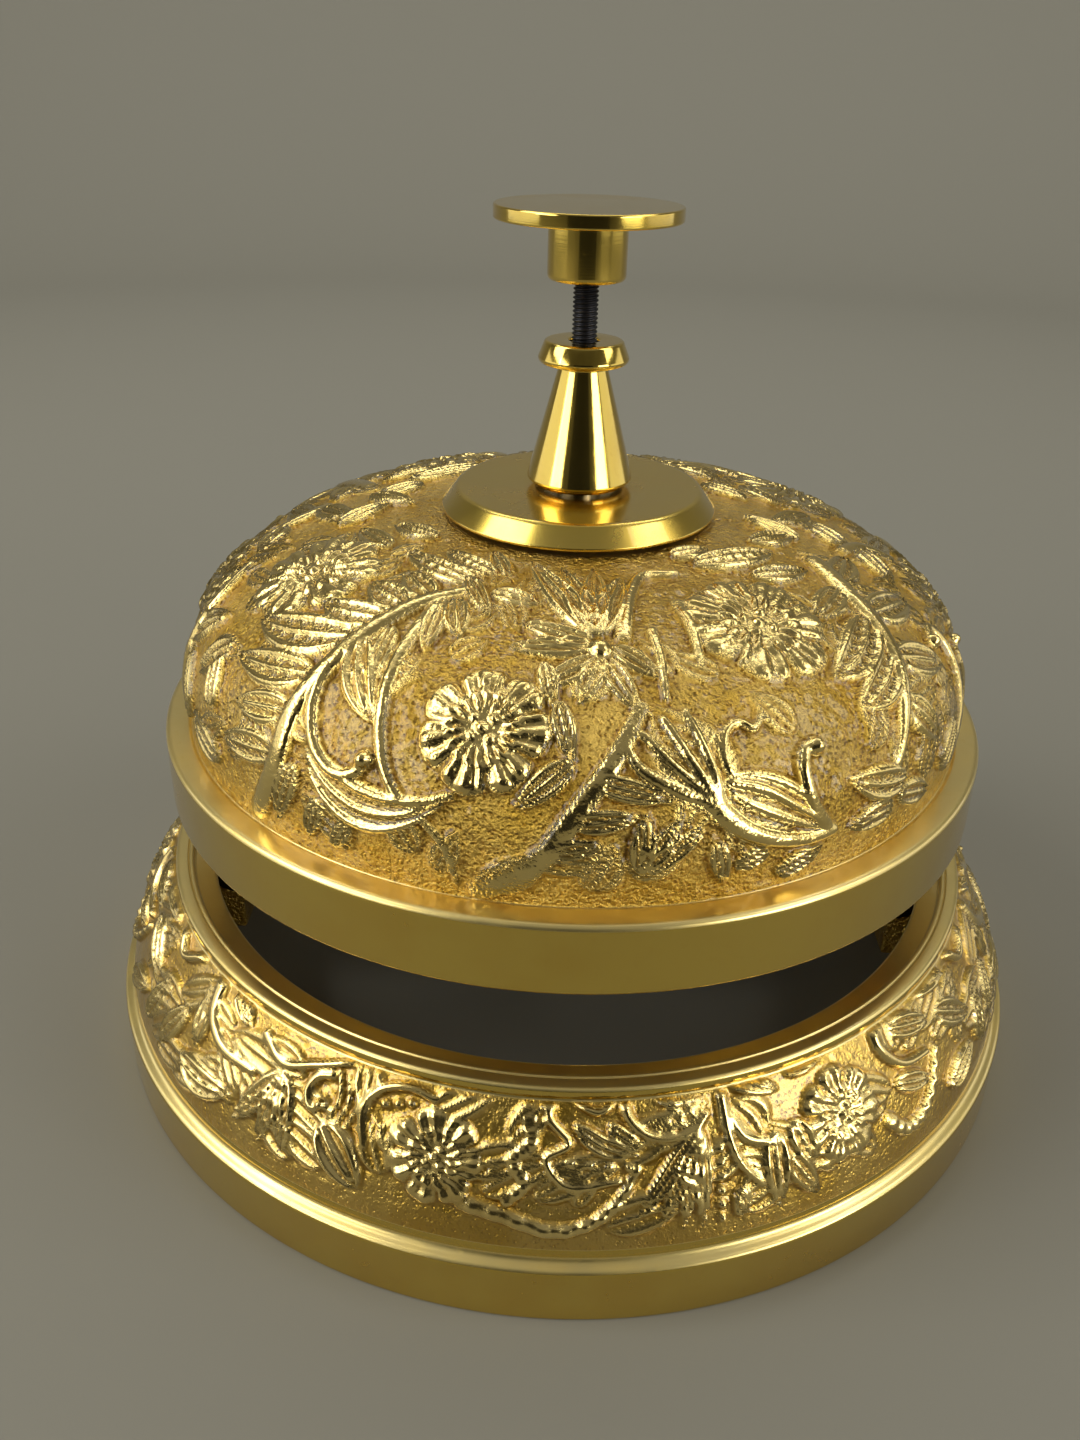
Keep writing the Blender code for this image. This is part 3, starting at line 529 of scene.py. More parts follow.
def rings(section: np.ndarray, columns: int) -> np.ndarray:
    """Turn a section of (radius, height) points round the Z axis.

    Args:
        section: The section's points, one to a row.
        columns: Points round each ring.

    Returns:
        Array of rings, points round each ring, and x, y, z.
    """
    turn = angles(columns)[None, :]
    radius = section[:, :1]
    height = np.broadcast_to(section[:, 1:], (len(section), columns))
    return np.stack([radius * np.sin(turn), -radius * np.cos(turn), height], -1)


def turned(name: str, section: Section, columns: int, closed: bool = True) -> bpy.types.Object:
    """Make a turned object whose flat faces stay flat in the light.

    Args:
        name: The object's name.
        section: Its points, down one side and up the other.
        columns: Points round each ring.
        closed: Whether the section's ends join.

    Returns:
        The object.
    """
    obj = grid_object(name, rings(np.array(section), columns), closed)
    even_light(obj)
    return obj


def even_light(obj: bpy.types.Object) -> None:
    """Weight the shading by face size, so that a small rounding doesn't bend the light on a flat.

    Args:
        obj: The piece, which gets a modifier.
    """
    modifier = obj.modifiers.new("EvenLight", "WEIGHTED_NORMAL")
    modifier.mode = "FACE_AREA"
    modifier.weight = 80


def hand_over(obj: bpy.types.Object, body: Body, slot: Slot, finishes: list[Finish], *nodes: str) -> None:
    """Give a piece its finishes and its body, and hide the CAD nodes that it stands for.

    Args:
        obj: The piece, in place.
        body: The body that it moves with.
        slot: The record's material slot that it belongs to; not used.
        finishes: Its finishes, in the order of its material slots.
        nodes: Names of the nodes that it stands for.
    """
    for finish in finishes:
        obj.data.materials.append(finish.material())
    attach(obj, body.value)
    if nodes:
        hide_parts(*nodes)
    LOG.info("%s rides on %s, %d faces", obj.name, body.value, len(obj.data.polygons))


# Relief


class Field:
    """Heights over a turned surface, in millimetres, built up motif by motif."""

    def __init__(self, turn: np.ndarray, rise: np.ndarray, radius: np.ndarray) -> None:
        """Lay out the surface.

        Args:
            turn: Radians round from the front, one for each column.
            rise: Millimetres up the slope, one for each row.
            radius: Millimetres from the axis, one for each row.
        """
        self.turn, self.rise = np.meshgrid(turn, rise)
        self.radius = np.broadcast_to(radius[:, None], self.turn.shape)
        self.height = np.zeros(self.turn.shape)

    def flat(self, middle: float) -> tuple[np.ndarray, np.ndarray]:
        """Return the surface rolled out flat round a turn in degrees, in millimetres."""
        delta = (self.turn - math.radians(middle) + math.pi) % (2 * math.pi) - math.pi
        return delta * self.radius, self.rise

    def flat_spot(self, spot: Spot, middle: float) -> np.ndarray:
        """Return where a spot lies once the surface is rolled out."""
        radius = np.interp(spot[1], self.rise[::-1, 0], self.radius[::-1, 0])
        return np.array([math.radians(spot[0] - middle) * radius, spot[1]])

    def lay(self, where: np.ndarray, height: np.ndarray) -> None:
        """Raise the surface to these heights where they are higher."""
        self.height[where] = np.maximum(self.height[where], height)


def step(value: np.ndarray, low: float, high: float) -> np.ndarray:
    """Return a smooth step from 0 at low to 1 at high."""
    t = np.clip((value - low) / (high - low), 0, 1)
    return t * t * (3 - 2 * t)


def smooth_line(points: np.ndarray, per_span: int = 9) -> np.ndarray:
    """Return a smooth line through points, by the Catmull-Rom rule.

    Args:
        points: The points, one to a row.
        per_span: Points made between each two.

    Returns:
        The line's points, one to a row.
    """
    ends = np.vstack([2 * points[0] - points[1], points, 2 * points[-1] - points[-2]])
    t = np.linspace(0, 1, per_span, endpoint=False)[:, None]
    line = []
    for a, b, c, d in zip(ends, ends[1:], ends[2:], ends[3:]):
        bend = (2 * a - 5 * b + 4 * c - d) * t**2 + (3 * b - a - 3 * c + d) * t**3
        line.append(0.5 * (2 * b + (c - a) * t + bend))
    return np.vstack([*line, points[-1:]])


LEAF_BREADTH = 1.3  # a leaf's real width for each millimetre drawn
LEAF_PEAK = 0.391  # the highest value of a leaf's outline before it is scaled
STEM_BREADTH = 1.2  # a stem's real width for each millimetre drawn
STEM_LOWNESS = 0.85  # a stem's real height for each millimetre drawn


@dataclass(frozen=True)
class Leaf:
    """A pointed leaf with a rib down its middle, a raised rim and veins. Sizes are in millimetres."""

    foot: Spot
    tip: Spot
    width: float = 2.4
    height: float = 0.85
    bow: float = 0.0
    veins: float = 0.0

    def turned(self, degrees: float) -> "Leaf":
        """Return the same leaf further round."""
        foot = (self.foot[0] + degrees, self.foot[1])
        return replace(self, foot=foot, tip=(self.tip[0] + degrees, self.tip[1]))

    def lay_on(self, field: Field) -> None:
        """Raise the leaf on the surface.

        Args:
            field: The surface, rolled out flat.
        """
        middle = (self.foot[0] + self.tip[0]) / 2
        u, v = field.flat(middle)
        foot = field.flat_spot(self.foot, middle)
        axis = field.flat_spot(self.tip, middle) - foot
        length = float(np.hypot(*axis))
        axis /= length
        along = ((u - foot[0]) * axis[0] + (v - foot[1]) * axis[1]) / length
        across = (v - foot[1]) * axis[0] - (u - foot[0]) * axis[1]
        reach = LEAF_BREADTH * self.width + abs(self.bow)
        where = (along > 0.001) & (along < 0.999) & (np.abs(across) < reach)
        t = along[where]
        off = across[where] - self.bow * 4 * t * (1 - t)
        half = 0.5 * LEAF_BREADTH * self.width * t**0.55 * (1 - t) ** 0.85 / LEAF_PEAK
        q = off / np.maximum(half, 0.05)
        wall = np.clip(1 - np.abs(q) ** 5, 0, 1) ** 0.5
        rim = np.exp(-(((np.abs(q) - 0.66) / 0.30) ** 2))
        rib = np.exp(-((off / (0.08 * self.width + 0.12)) ** 2)) * (1 - step(t, 0.75, 1.0))
        vein = 0.0
        if self.veins:
            vein = 0.22 * step(np.cos(2 * math.pi * self.veins * (t - 0.25 * np.abs(q))), 0.1, 0.9)
        body = np.maximum(np.maximum(rim, rib), 0.40 + vein)
        swell = 0.72 + 0.28 * np.sin(math.pi * np.clip(t, 0, 1) ** 0.8)
        field.lay(where, self.height * swell * body * wall)


@dataclass(frozen=True)
class Stem:
    """A round stem through spots, which may end in a knob or be notched. Sizes are in millimetres."""

    spots: tuple[Spot, ...]
    width: tuple[float, float] = (1.2, 0.8)
    height: float = 0.95
    knob: float = 0.0
    notches: float = 0.0

    def turned(self, degrees: float) -> "Stem":
        """Return the same stem further round."""
        return replace(self, spots=tuple((turn + degrees, rise) for turn, rise in self.spots))

    def lay_on(self, field: Field) -> None:
        """Raise the stem on the surface.

        Args:
            field: The surface, rolled out flat.
        """
        middle = sum(spot[0] for spot in self.spots) / len(self.spots)
        u, v = field.flat(middle)
        line = smooth_line(np.array([field.flat_spot(spot, middle) for spot in self.spots]))
        reach = max(*self.width, 2 * self.knob) / 2 + 0.2
        low, high = line.min(0) - reach, line.max(0) + reach
        where = (u > low[0]) & (u < high[0]) & (v > low[1]) & (v < high[1])
        points = np.stack([u[where], v[where]], -1)
        nearest = np.full(len(points), 1e9)
        share = np.zeros(len(points))
        for i, (a, b) in enumerate(zip(line, line[1:])):
            run = b - a
            t = np.clip((points - a) @ run / max(float(run @ run), 1e-9), 0, 1)
            distance = np.hypot(*(points - a - t[:, None] * run).T)
            closer = distance < nearest
            nearest = np.where(closer, distance, nearest)
            share = np.where(closer, (i + t) / (len(line) - 1), share)
        half = 0.5 * STEM_BREADTH * (self.width[0] + (self.width[1] - self.width[0]) * share)
        ridge = np.clip(1 - (nearest / half) ** 2.6, 0, 1) ** 0.5
        ridge *= 1 - self.notches * (0.5 + 0.5 * np.cos(share * 60))
        height = STEM_LOWNESS * self.height * (0.75 + 0.25 * np.sin(math.pi * share)) * ridge
        if self.knob:
            far = np.hypot(*(points - line[-1]).T)
            height = np.maximum(height, 1.25 * self.height * np.clip(1 - (far / self.knob) ** 2, 0, 1) ** 0.5)
        field.lay(where, height)


@dataclass(frozen=True)
class Flower:
    """A double daisy: ribbed petals, an inner ring of short ones and a beaded heart."""

    heart: Spot
    radius: float
    petals: int = 17
    height: float = 1.0
    lean: float = 0.0
    lobes: int = 7

    def turned(self, degrees: float) -> "Flower":
        """Return the same flower further round."""
        return replace(self, heart=(self.heart[0] + degrees, self.heart[1]))

    def lay_on(self, field: Field) -> None:
        """Raise the flower on the surface.

        Args:
            field: The surface, rolled out flat.
        """
        u, v = field.flat(self.heart[0])
        v = v - self.heart[1]
        where = u**2 + v**2 < (1.05 * self.radius) ** 2
        u, v = u[where] / self.radius, v[where] / self.radius
        far = np.hypot(u, v)
        angle = np.arctan2(v, u) + self.lean
        lobe = np.abs(np.cos(angle * self.lobes / 2))
        reach = 0.84 + 0.16 * lobe**0.6
        edge = np.clip(1 - (far / reach) ** 9, 0, 1) ** 0.5
        split = 1 - 0.8 * np.exp(-((lobe / 0.16) ** 2)) * step(far, 0.45, 0.8)
        ribs = step(np.cos(angle * self.petals), -0.55, 0.35)
        outer = edge * split * (0.54 + 0.28 * ribs * step(far, 0.42, 0.55) + 0.16 * step(far, 0.6, 0.9))
        spokes = step(np.cos(angle * self.petals + 2.2), -0.2, 0.6)
        ring = spokes * np.clip(1 - ((far - 0.42) / 0.20) ** 2, 0, 1) ** 0.5
        beads = np.cos(u * 19 + 0.4) * np.cos(v * 19)
        heart = step(0.27 - far, 0.0, 0.05) * (0.50 + 0.50 * step(beads, -0.2, 0.7))
        field.lay(where, self.height * np.maximum.reduce([outer, ring, heart]))


@dataclass(frozen=True)
class Beads:
    """A row of round beads between two spots."""

    start: Spot
    end: Spot
    count: int
    radius: float = 0.5
    height: float = 0.6

    def turned(self, degrees: float) -> "Beads":
        """Return the same row further round."""
        start = (self.start[0] + degrees, self.start[1])
        return replace(self, start=start, end=(self.end[0] + degrees, self.end[1]))

    def lay_on(self, field: Field) -> None:
        """Raise the beads on the surface.

        Args:
            field: The surface, rolled out flat.
        """
        u, v = field.flat(self.start[0])
        first = field.flat_spot(self.start, self.start[0])
        last = field.flat_spot(self.end, self.start[0])
        for i in range(self.count):
            centre = first + (last - first) * i / max(self.count - 1, 1)
            far = np.hypot(u - centre[0], v - centre[1])
            where = far < self.radius
            field.lay(where, self.height * np.sqrt(1 - (far[where] / self.radius) ** 2))


Motif = Leaf | Stem | Flower | Beads


def fan(foot: Spot, tips: tuple[Spot, ...], width: float, height: float = 0.85) -> tuple[Leaf, ...]:
    """Return leaves that spread from one foot."""
    return tuple(Leaf(foot, tip, width, height) for tip in tips)


def undergrowth(count: int, span: float, rises: tuple[float, float], seed: int) -> tuple[Leaf, ...]:
    """Return low leaves that lean this way and that, to fill the ground between the other motifs.

    Args:
        count: How many leaves.
        span: Degrees round that they are spread over.
        rises: The lowest and highest rise of their feet, in millimetres.
        seed: Number that picks the arrangement.

    Returns:
        The leaves.
    """
    chance = np.random.RandomState(seed)
    leaves = []
    for i in range(count):
        turn = (i + chance.uniform(-0.4, 0.4)) * span / count
        rise = chance.uniform(*rises)
        lean = math.radians(65 * math.sin(turn / 9.0 + rise / 7.0) + chance.uniform(-35, 35))
        length = chance.uniform(5.5, 9.0)
        tip = (turn + length * math.sin(lean) * 1.25, rise + length * math.cos(lean) * 0.8)
        leaves.append(Leaf((turn, rise), tip, chance.uniform(2.8, 4.0), 0.52, chance.uniform(-0.8, 0.8)))
    return tuple(leaves)


# Large primes that scatter the lattice's cells, and the range of the numbers that they make
CELL_PRIMES = (73856093, 19349663, 83492791)
SCATTER_PRIME = 1274126177
SCATTER_TOP = 0x7FFFFFFF


def lattice_noise(points: np.ndarray, size: float) -> np.ndarray:
    """Return soft noise from -1 to 1 at points in millimetres, the same on each run.

    Args:
        points: The points, with x, y, z last.
        size: The width of a patch, in millimetres.

    Returns:
        One number for each point.
    """
    scaled = points / size
    cell = np.floor(scaled).astype(np.int64)
    part = scaled - cell
    part = part * part * (3 - 2 * part)
    total = np.zeros(points.shape[:-1])
    for corner in np.ndindex(2, 2, 2):
        at = cell + corner
        mixed = np.bitwise_xor.reduce(at * CELL_PRIMES, axis=-1)
        mixed = (mixed ^ (mixed >> 13)) * SCATTER_PRIME & SCATTER_TOP
        weight = np.prod(np.where(corner, part, 1 - part), -1)
        total += weight * (mixed / (SCATTER_TOP // 2) - 1)
    return total


DOME_SPRAY: tuple[Motif, ...] = (
    # Three daisies
    Flower((-11.0, 17.7), 6.8, 18, 1.1),
    Flower((35.3, 29.0), 8.2, 17, 1.0, 0.3),
    Flower((-60.0, 28.5), 8.0, 17, 1.0, 0.1),
    # Open bloom under the washer
    Beads((4.6, 27.9), (4.6, 27.9), 1, 1.35, 1.25),
    *fan((4.0, 30.0), ((-15.0, 43.5), (-4.5, 42.5), (5.5, 42.5), (13.0, 40.5)), 3.3, 0.95),
    *fan((4.0, 28.6), ((-10.5, 31.6), (-11.0, 27.6)), 2.5),
    *fan((4.6, 27.0), ((-5.0, 22.6), (1.2, 21.0), (9.3, 20.2)), 2.5, 0.8),
    Leaf((6.5, 28.4), (13.6, 24.0), 2.3),
    Stem(((9.0, 30.0), (10.6, 33.6), (13.4, 37.4), (19.0, 40.6), (29.0, 40.2)), (1.6, 0.9), 1.0),
    Stem(((14.6, 30.6), (14.2, 26.0), (13.4, 21.6)), (1.1, 0.7)),
    Stem(((22.8, 34.6), (22.2, 30.4), (20.4, 25.0)), (1.6, 0.8), 0.9),
    # Bud and its curling stem
    Leaf((18.6, 10.2), (11.2, 20.8), 7.4, 0.55, 0.0, 0.0),
    Stem(((18.2, 10.8), (13.6, 14.0), (9.4, 17.8)), (1.2, 0.9), 1.05),
    Stem(((18.2, 10.8), (15.4, 14.4), (12.4, 19.2)), (1.2, 1.0), 1.15),
    Stem(((18.3, 10.8), (17.4, 14.8), (15.6, 19.8)), (1.2, 0.9), 1.05),
    Stem(((18.6, 10.4), (13.0, 12.4), (8.6, 14.6), (7.0, 17.4)), (1.8, 0.8), 0.95),
    Stem(((16.8, 11.2), (20.6, 8.0), (25.0, 6.1), (30.0, 5.2), (33.6, 5.2)), (2.2, 1.2), 1.2),
    Leaf((19.0, 12.6), (33.6, 5.2), 3.8, 0.8, 0.8, 0.0),
    Stem(((19.8, 12.4), (24.2, 11.2), (28.6, 8.6), (33.4, 5.4)), (1.1, 0.6), 1.1),
    Stem(((20.4, 12.6), (19.4, 14.9), (20.2, 17.2), (22.4, 18.2), (24.4, 17.3), (26.0, 18.3)), (1.0, 0.7)),
    Stem(((32.8, 5.4), (30.7, 8.6), (29.9, 11.8), (30.7, 14.0), (32.4, 14.2)), (1.7, 1.1), 1.1, 1.05),
    # Rough branch with small leaves, from the ledge to the bud
    Stem(
        ((-9.5, 1.4), (-3.2, 5.0), (0.5, 9.5), (4.0, 13.5), (6.6, 16.6), (9.6, 20.6)),
        (2.4, 1.7),
        0.9,
        notches=0.12,
    ),
    Leaf((3.0, 13.4), (12.6, 11.4), 2.1),
    Leaf((0.8, 9.2), (8.6, 10.0), 2.1),
    Leaf((-1.4, 6.2), (4.4, 7.4), 1.8),
    *fan((8.6, 4.2), ((9.2, 10.4), (13.4, 9.6), (16.6, 8.6)), 2.2),
    Leaf((17.8, 6.8), (18.8, 1.8), 1.9),
    Leaf((20.0, 3.6), (25.0, 5.4), 1.8),
    Leaf((25.6, 1.8), (32.4, 3.8), 2.0),
    Leaf((0.6, 15.2), (-6.2, 10.4), 2.5),
    Leaf((-1.8, 21.4), (0.6, 15.0), 2.0),
    Leaf((-4.4, 26.0), (-2.2, 20.6), 1.8),
    # Left hook, flames and crescent
    Stem(
        (
            (-34.4, 24.2), (-36.9, 20.4), (-35.9, 15.8), (-32.9, 12.0),
            (-29.3, 10.3), (-26.5, 10.9), (-25.5, 12.4),
        ),
        (1.3, 1.2),
        1.15,
        1.0,
    ),
    Leaf((-35.2, 24.6), (-25.8, 16.0), 3.4, 1.05, -0.8, 3.0),
    Leaf((-31.8, 27.2), (-28.8, 18.8), 2.0),
    Leaf((-27.6, 33.0), (-24.0, 25.0), 2.4),
    Stem(
        (
            (-28.2, 34.4), (-27.8, 28.0), (-27.0, 22.0), (-25.0, 16.4),
            (-22.4, 11.8), (-19.2, 9.4), (-13.8, 10.8),
        ),
        (1.7, 0.9),
        0.9,
    ),
    Leaf((-34.2, 11.4), (-13.4, 11.0), 4.4, 0.95, -3.6, 0.0),
    # Left stem with veined leaves
    Stem(
        (
            (-42.0, 2.2), (-39.0, 8.6), (-38.5, 15.0), (-36.9, 21.5),
            (-34.9, 26.5), (-31.6, 31.5), (-25.4, 35.2),
        ),
        (2.4, 1.7),
        1.15,
    ),
    Leaf((-37.4, 24.2), (-57.0, 20.6), 5.2, 0.95, 0.6, 7.0),
    Leaf((-39.0, 18.6), (-55.0, 16.2), 4.0, 0.9, 0.3, 6.0),
    Leaf((-39.4, 14.2), (-50.0, 12.2), 3.4),
    Leaf((-39.6, 9.6), (-51.0, 7.8), 3.4),
    Leaf((-35.2, 27.6), (-49.0, 26.4), 4.0, 0.95, 0.4, 6.0),
    Leaf((-33.4, 30.2), (-46.0, 31.6), 4.2, 0.95, 0.0, 6.0),
    Leaf((-30.6, 32.8), (-43.0, 35.4), 3.4),
    Leaf((-35.6, 9.6), (-38.4, 2.2), 2.4),
    Leaf((-31.0, 7.0), (-33.0, 1.8), 2.0),
    Leaf((-26.6, 5.6), (-29.0, 1.8), 1.8),
    Stem(((-17.0, 8.0), (-14.0, 5.6), (-12.4, 1.8)), (0.9, 0.6), 0.7),
    # Long leaves under the washer, on the left
    Leaf((-24.0, 37.0), (-53.0, 38.6), 3.0, 0.9, 0.0, 8.0),
    Leaf((-22.5, 39.4), (-43.0, 41.4), 2.8, 0.9, 0.0, 7.0),
    Leaf((-19.0, 39.6), (-30.0, 44.2), 2.4),
    Leaf((-27.0, 37.6), (-16.4, 31.8), 2.0, 1.0),
    Leaf((-25.4, 33.4), (-19.6, 27.8), 3.0),
    Leaf((-19.0, 36.0), (-7.0, 35.0), 2.4),
    Leaf((-54.0, 43.0), (-72.0, 40.0), 2.8),
    Leaf((-58.0, 37.6), (-74.0, 36.0), 3.0),
    # Far left
    Leaf((-58.0, 16.4), (-64.0, 10.6), 3.4),
    Leaf((-56.0, 9.0), (-60.0, 15.4), 2.8),
    Leaf((-52.0, 4.2), (-63.0, 6.2), 3.0),
    Leaf((-66.0, 4.0), (-72.0, 12.0), 3.0),
    Stem(((-75.0, 3.0), (-73.0, 10.0), (-74.0, 17.0), (-78.0, 22.0)), (2.0, 1.2), 1.1),
    Leaf((-73.5, 12.0), (-66.0, 18.0), 3.6),
    Leaf((-75.0, 17.6), (-84.0, 13.0), 3.4),
    # Right stem with veined leaves
    Stem(
        ((46.0, 9.4), (50.0, 13.6), (54.2, 17.8), (57.6, 22.2), (61.4, 27.4), (68.0, 32.6)),
        (1.2, 2.5),
        1.2,
    ),
    Leaf((57.6, 24.2), (40.6, 20.0), 4.8, 1.0, 0.8, 7.0),
    Leaf((54.0, 19.0), (42.0, 16.2), 4.2, 1.0, 0.6, 6.0),
    Leaf((60.4, 28.6), (47.6, 27.2), 3.6),
    Leaf((51.6, 14.6), (57.4, 8.4), 3.8),
    Leaf((55.8, 18.8), (66.6, 14.4), 4.2),
    Leaf((60.0, 24.2), (73.0, 21.6), 4.6),
    Leaf((64.4, 29.4), (77.0, 30.0), 4.0),
    Leaf((47.4, 7.2), (36.8, 9.8), 3.4, 0.9, 0.5, 5.0),
    Leaf((44.6, 5.0), (36.4, 4.4), 2.6),
    Leaf((46.0, 5.6), (54.0, 3.6), 2.8),
    Leaf((58.0, 4.2), (66.0, 9.0), 3.2),
    Stem(((63.0, 4.0), (69.0, 8.0), (72.0, 13.6), (70.6, 17.8), (68.2, 16.6)), (1.6, 1.1), 1.0, 1.0),
    # Long leaves under the washer, on the right
    Leaf((37.0, 41.2), (64.0, 37.4), 3.8, 0.95, 0.4, 8.0),
    Leaf((34.0, 44.0), (50.0, 43.2), 2.6),
    Leaf((47.0, 36.0), (62.0, 32.8), 3.2),
    Leaf((66.0, 40.6), (80.0, 36.4), 3.2),
)

DOME_SIDE: tuple[Motif, ...] = (
    Flower((0.0, 15.6), 6.2, 14, 1.0),
    Stem(((-8.0, 30.0), (-3.0, 27.6), (0.0, 23.0)), (1.8, 1.3), 1.0),
    Leaf((-4.0, 28.4), (-14.0, 23.4), 3.6),
    Leaf((-1.0, 25.6), (8.6, 23.0), 3.6),
    Leaf((-6.0, 30.0), (5.0, 34.6), 3.6),
    Leaf((9.0, 33.4), (-4.0, 39.4), 3.0),
    Leaf((-12.0, 35.6), (-1.0, 42.6), 2.8),
    Stem(((-13.0, 2.0), (-10.0, 6.4), (-12.4, 10.4), (-10.4, 12.6)), (1.5, 1.0), 1.0, 0.9),
    Leaf((10.4, 2.4), (13.0, 10.4), 3.2),
    Leaf((5.6, 2.0), (-4.6, 5.4), 2.8),
    Leaf((12.0, 14.0), (9.4, 21.0), 3.0),
)

DOME_GROUND: tuple[Motif, ...] = (
    *(motif.turned(90) for motif in DOME_SIDE),
    *undergrowth(95, 180, (2.0, 38.0), 4),
)

BASE_SPRAY: tuple[Motif, ...] = (
    Flower((-12.5, 8.6), 5.3, 15, 0.95),
    Flower((33.2, 9.2), 5.4, 15, 0.95, 0.2),
    Stem(((-20.6, 7.8), (-21.4, 11.4), (-19.8, 14.0), (-16.6, 15.0), (-13.4, 14.4)), (1.1, 0.8), 0.9),
    Beads((-19.0, 12.6), (-16.0, 13.4), 3, 0.5),
    *(
        Stem(((k - 25.2, 9.0), (k - 24.4, 11.6), (k - 25.2, 14.2)), (0.62, 0.5), 0.7)
        for k in (0.0, 1.15, 2.3, 3.45)
    ),
    Stem(((-26.0, 13.6), (-27.7, 12.9), (-28.5, 11.0), (-27.6, 9.4), (-26.4, 10.2)), (1.1, 0.9), 0.95, 0.7),
    *fan((-32.0, 11.6), ((-29.8, 3.0), (-33.4, 2.8), (-37.4, 3.2)), 2.5, 0.95),
    Stem(((-46.8, 16.4), (-45.6, 12.0), (-42.0, 9.7), (-36.6, 9.6)), (1.8, 1.0), 1.0),
    Stem(((-36.4, 14.0), (-32.6, 12.4), (-28.6, 13.8), (-24.0, 15.6)), (1.2, 0.7), 0.95),
    Leaf((-43.6, 17.0), (-39.2, 13.4), 2.4),
    Leaf((-25.8, 8.2), (-20.2, 2.8), 4.4, 1.0),
    Leaf((-48.4, 4.6), (-38.8, 5.6), 3.6, 0.95, -0.8, 5.0),
    Leaf((-47.4, 12.6), (-46.8, 6.8), 2.4),
    Leaf((-54.0, 3.4), (-50.0, 10.4), 2.8),
    Stem(((-3.0, 14.6), (-2.4, 11.6), (-4.2, 9.6), (-2.9, 7.2), (-4.6, 5.2)), (1.7, 1.2), 0.9, 0.0, 0.2),
    Stem(
        ((-0.4, 17.0), (-0.6, 14.2), (1.6, 11.6), (-0.7, 10.1), (0.3, 8.1), (2.2, 7.1), (6.8, 7.7)),
        (0.9, 0.7),
        0.85,
    ),
    Beads((1.8, 9.7), (7.9, 9.1), 4, 0.55, 0.7),
    Stem(((0.9, 17.0), (4.6, 14.8), (7.2, 16.4)), (0.9, 0.7), 0.85),
    Leaf((2.2, 13.5), (9.4, 10.4), 1.9, 0.8, -0.8, 3.0),
    Leaf((5.8, 13.6), (10.2, 10.8), 1.6, 0.8, -0.4, 2.0),
    Stem(((8.0, 17.2), (7.9, 14.6), (9.6, 12.5), (12.2, 11.7), (15.2, 12.2), (16.8, 13.6)), (1.0, 0.8), 0.9),
    Leaf((10.8, 16.8), (14.0, 14.6), 1.4),
    Stem(
        ((-9.2, 4.4), (-5.0, 3.6), (0.0, 2.3), (3.8, 3.2), (6.6, 5.4), (8.8, 8.8)),
        (1.7, 1.0),
        0.95,
        notches=0.3,
    ),
    *fan((15.8, 12.4), ((8.6, 3.6), (11.0, 2.4), (13.2, 1.8), (15.4, 1.8)), 1.9, 0.9),
    Beads((17.9, 9.8), (17.5, 2.4), 6, 0.5, 0.7),
    Stem(((18.8, 15.0), (19.0, 11.0), (20.0, 7.8), (22.2, 5.0)), (1.1, 0.7), 0.95),
    Stem(((19.4, 12.8), (21.0, 10.3), (24.6, 9.0)), (1.0, 0.8), 0.9),
    Leaf((24.2, 10.2), (23.8, 2.0), 2.8, 1.0),
    Leaf((26.8, 10.6), (28.4, 5.4), 2.6, 1.0),
    Leaf((25.6, 7.2), (28.6, 1.8), 2.4, 1.0),
    Leaf((19.6, 16.8), (26.0, 14.2), 2.0),
    Leaf((27.0, 15.6), (34.0, 16.6), 1.8),
    Leaf((20.2, 5.4), (19.2, 1.8), 1.6),
    Stem(((39.6, 5.6), (42.0, 3.3), (45.0, 3.5), (48.0, 5.6), (50.4, 8.8)), (1.6, 1.0), 0.95, 0.0, 0.3),
    Stem(((41.4, 17.0), (41.0, 13.6), (43.8, 10.4), (48.6, 9.4)), (1.3, 0.8), 0.95),
    Leaf((42.0, 8.8), (48.0, 6.6), 2.2),
    Leaf((43.4, 14.8), (51.0, 12.4), 2.6),
    Leaf((49.0, 16.8), (58.0, 14.8), 2.4),
    Leaf((52.6, 12.4), (60.0, 8.0), 3.2),
    Leaf((51.6, 3.0), (58.6, 5.0), 2.8),
    Leaf((61.0, 3.0), (64.0, 10.2), 2.8),
    Stem(((60.4, 16.2), (63.6, 13.6), (67.6, 15.6)), (1.2, 0.8), 0.9),
)

BASE_GROUND: tuple[Motif, ...] = undergrowth(52, 120, (2.5, 13.0), 9)


@dataclass(frozen=True)
class Relief:
    """How motifs are laid on a casting, and how rough the ground between them is. Millimetres."""

    motifs: tuple[Motif, ...]
    copies: tuple[float, ...]
    scale: float
    foot_fade: float
    top_fade: float
    sand: float

    def heights(self, field: Field, points: np.ndarray) -> np.ndarray:
        """Return the surface's height above the smooth shape.

        Args:
            field: The surface to build on.
            points: The smooth shape's points, in metres.

        Returns:
            Heights in millimetres.
        """
        for turn in self.copies:
            for motif in self.motifs:
                motif.turned(turn).lay_on(field)
        bare = 1 - step(field.height, 0.05, 0.5)
        coarse = lattice_noise(points / MM, 2.2)
        fine = lattice_noise(points / MM, 0.65)
        ground = (coarse * 0.8 + fine) * self.sand * (0.15 + 0.85 * bare)
        fade = step(field.rise, 0.0, self.foot_fade) * step(field.rise.max() - field.rise, 0.0, self.top_fade)
        return (field.height * self.scale + ground) * fade


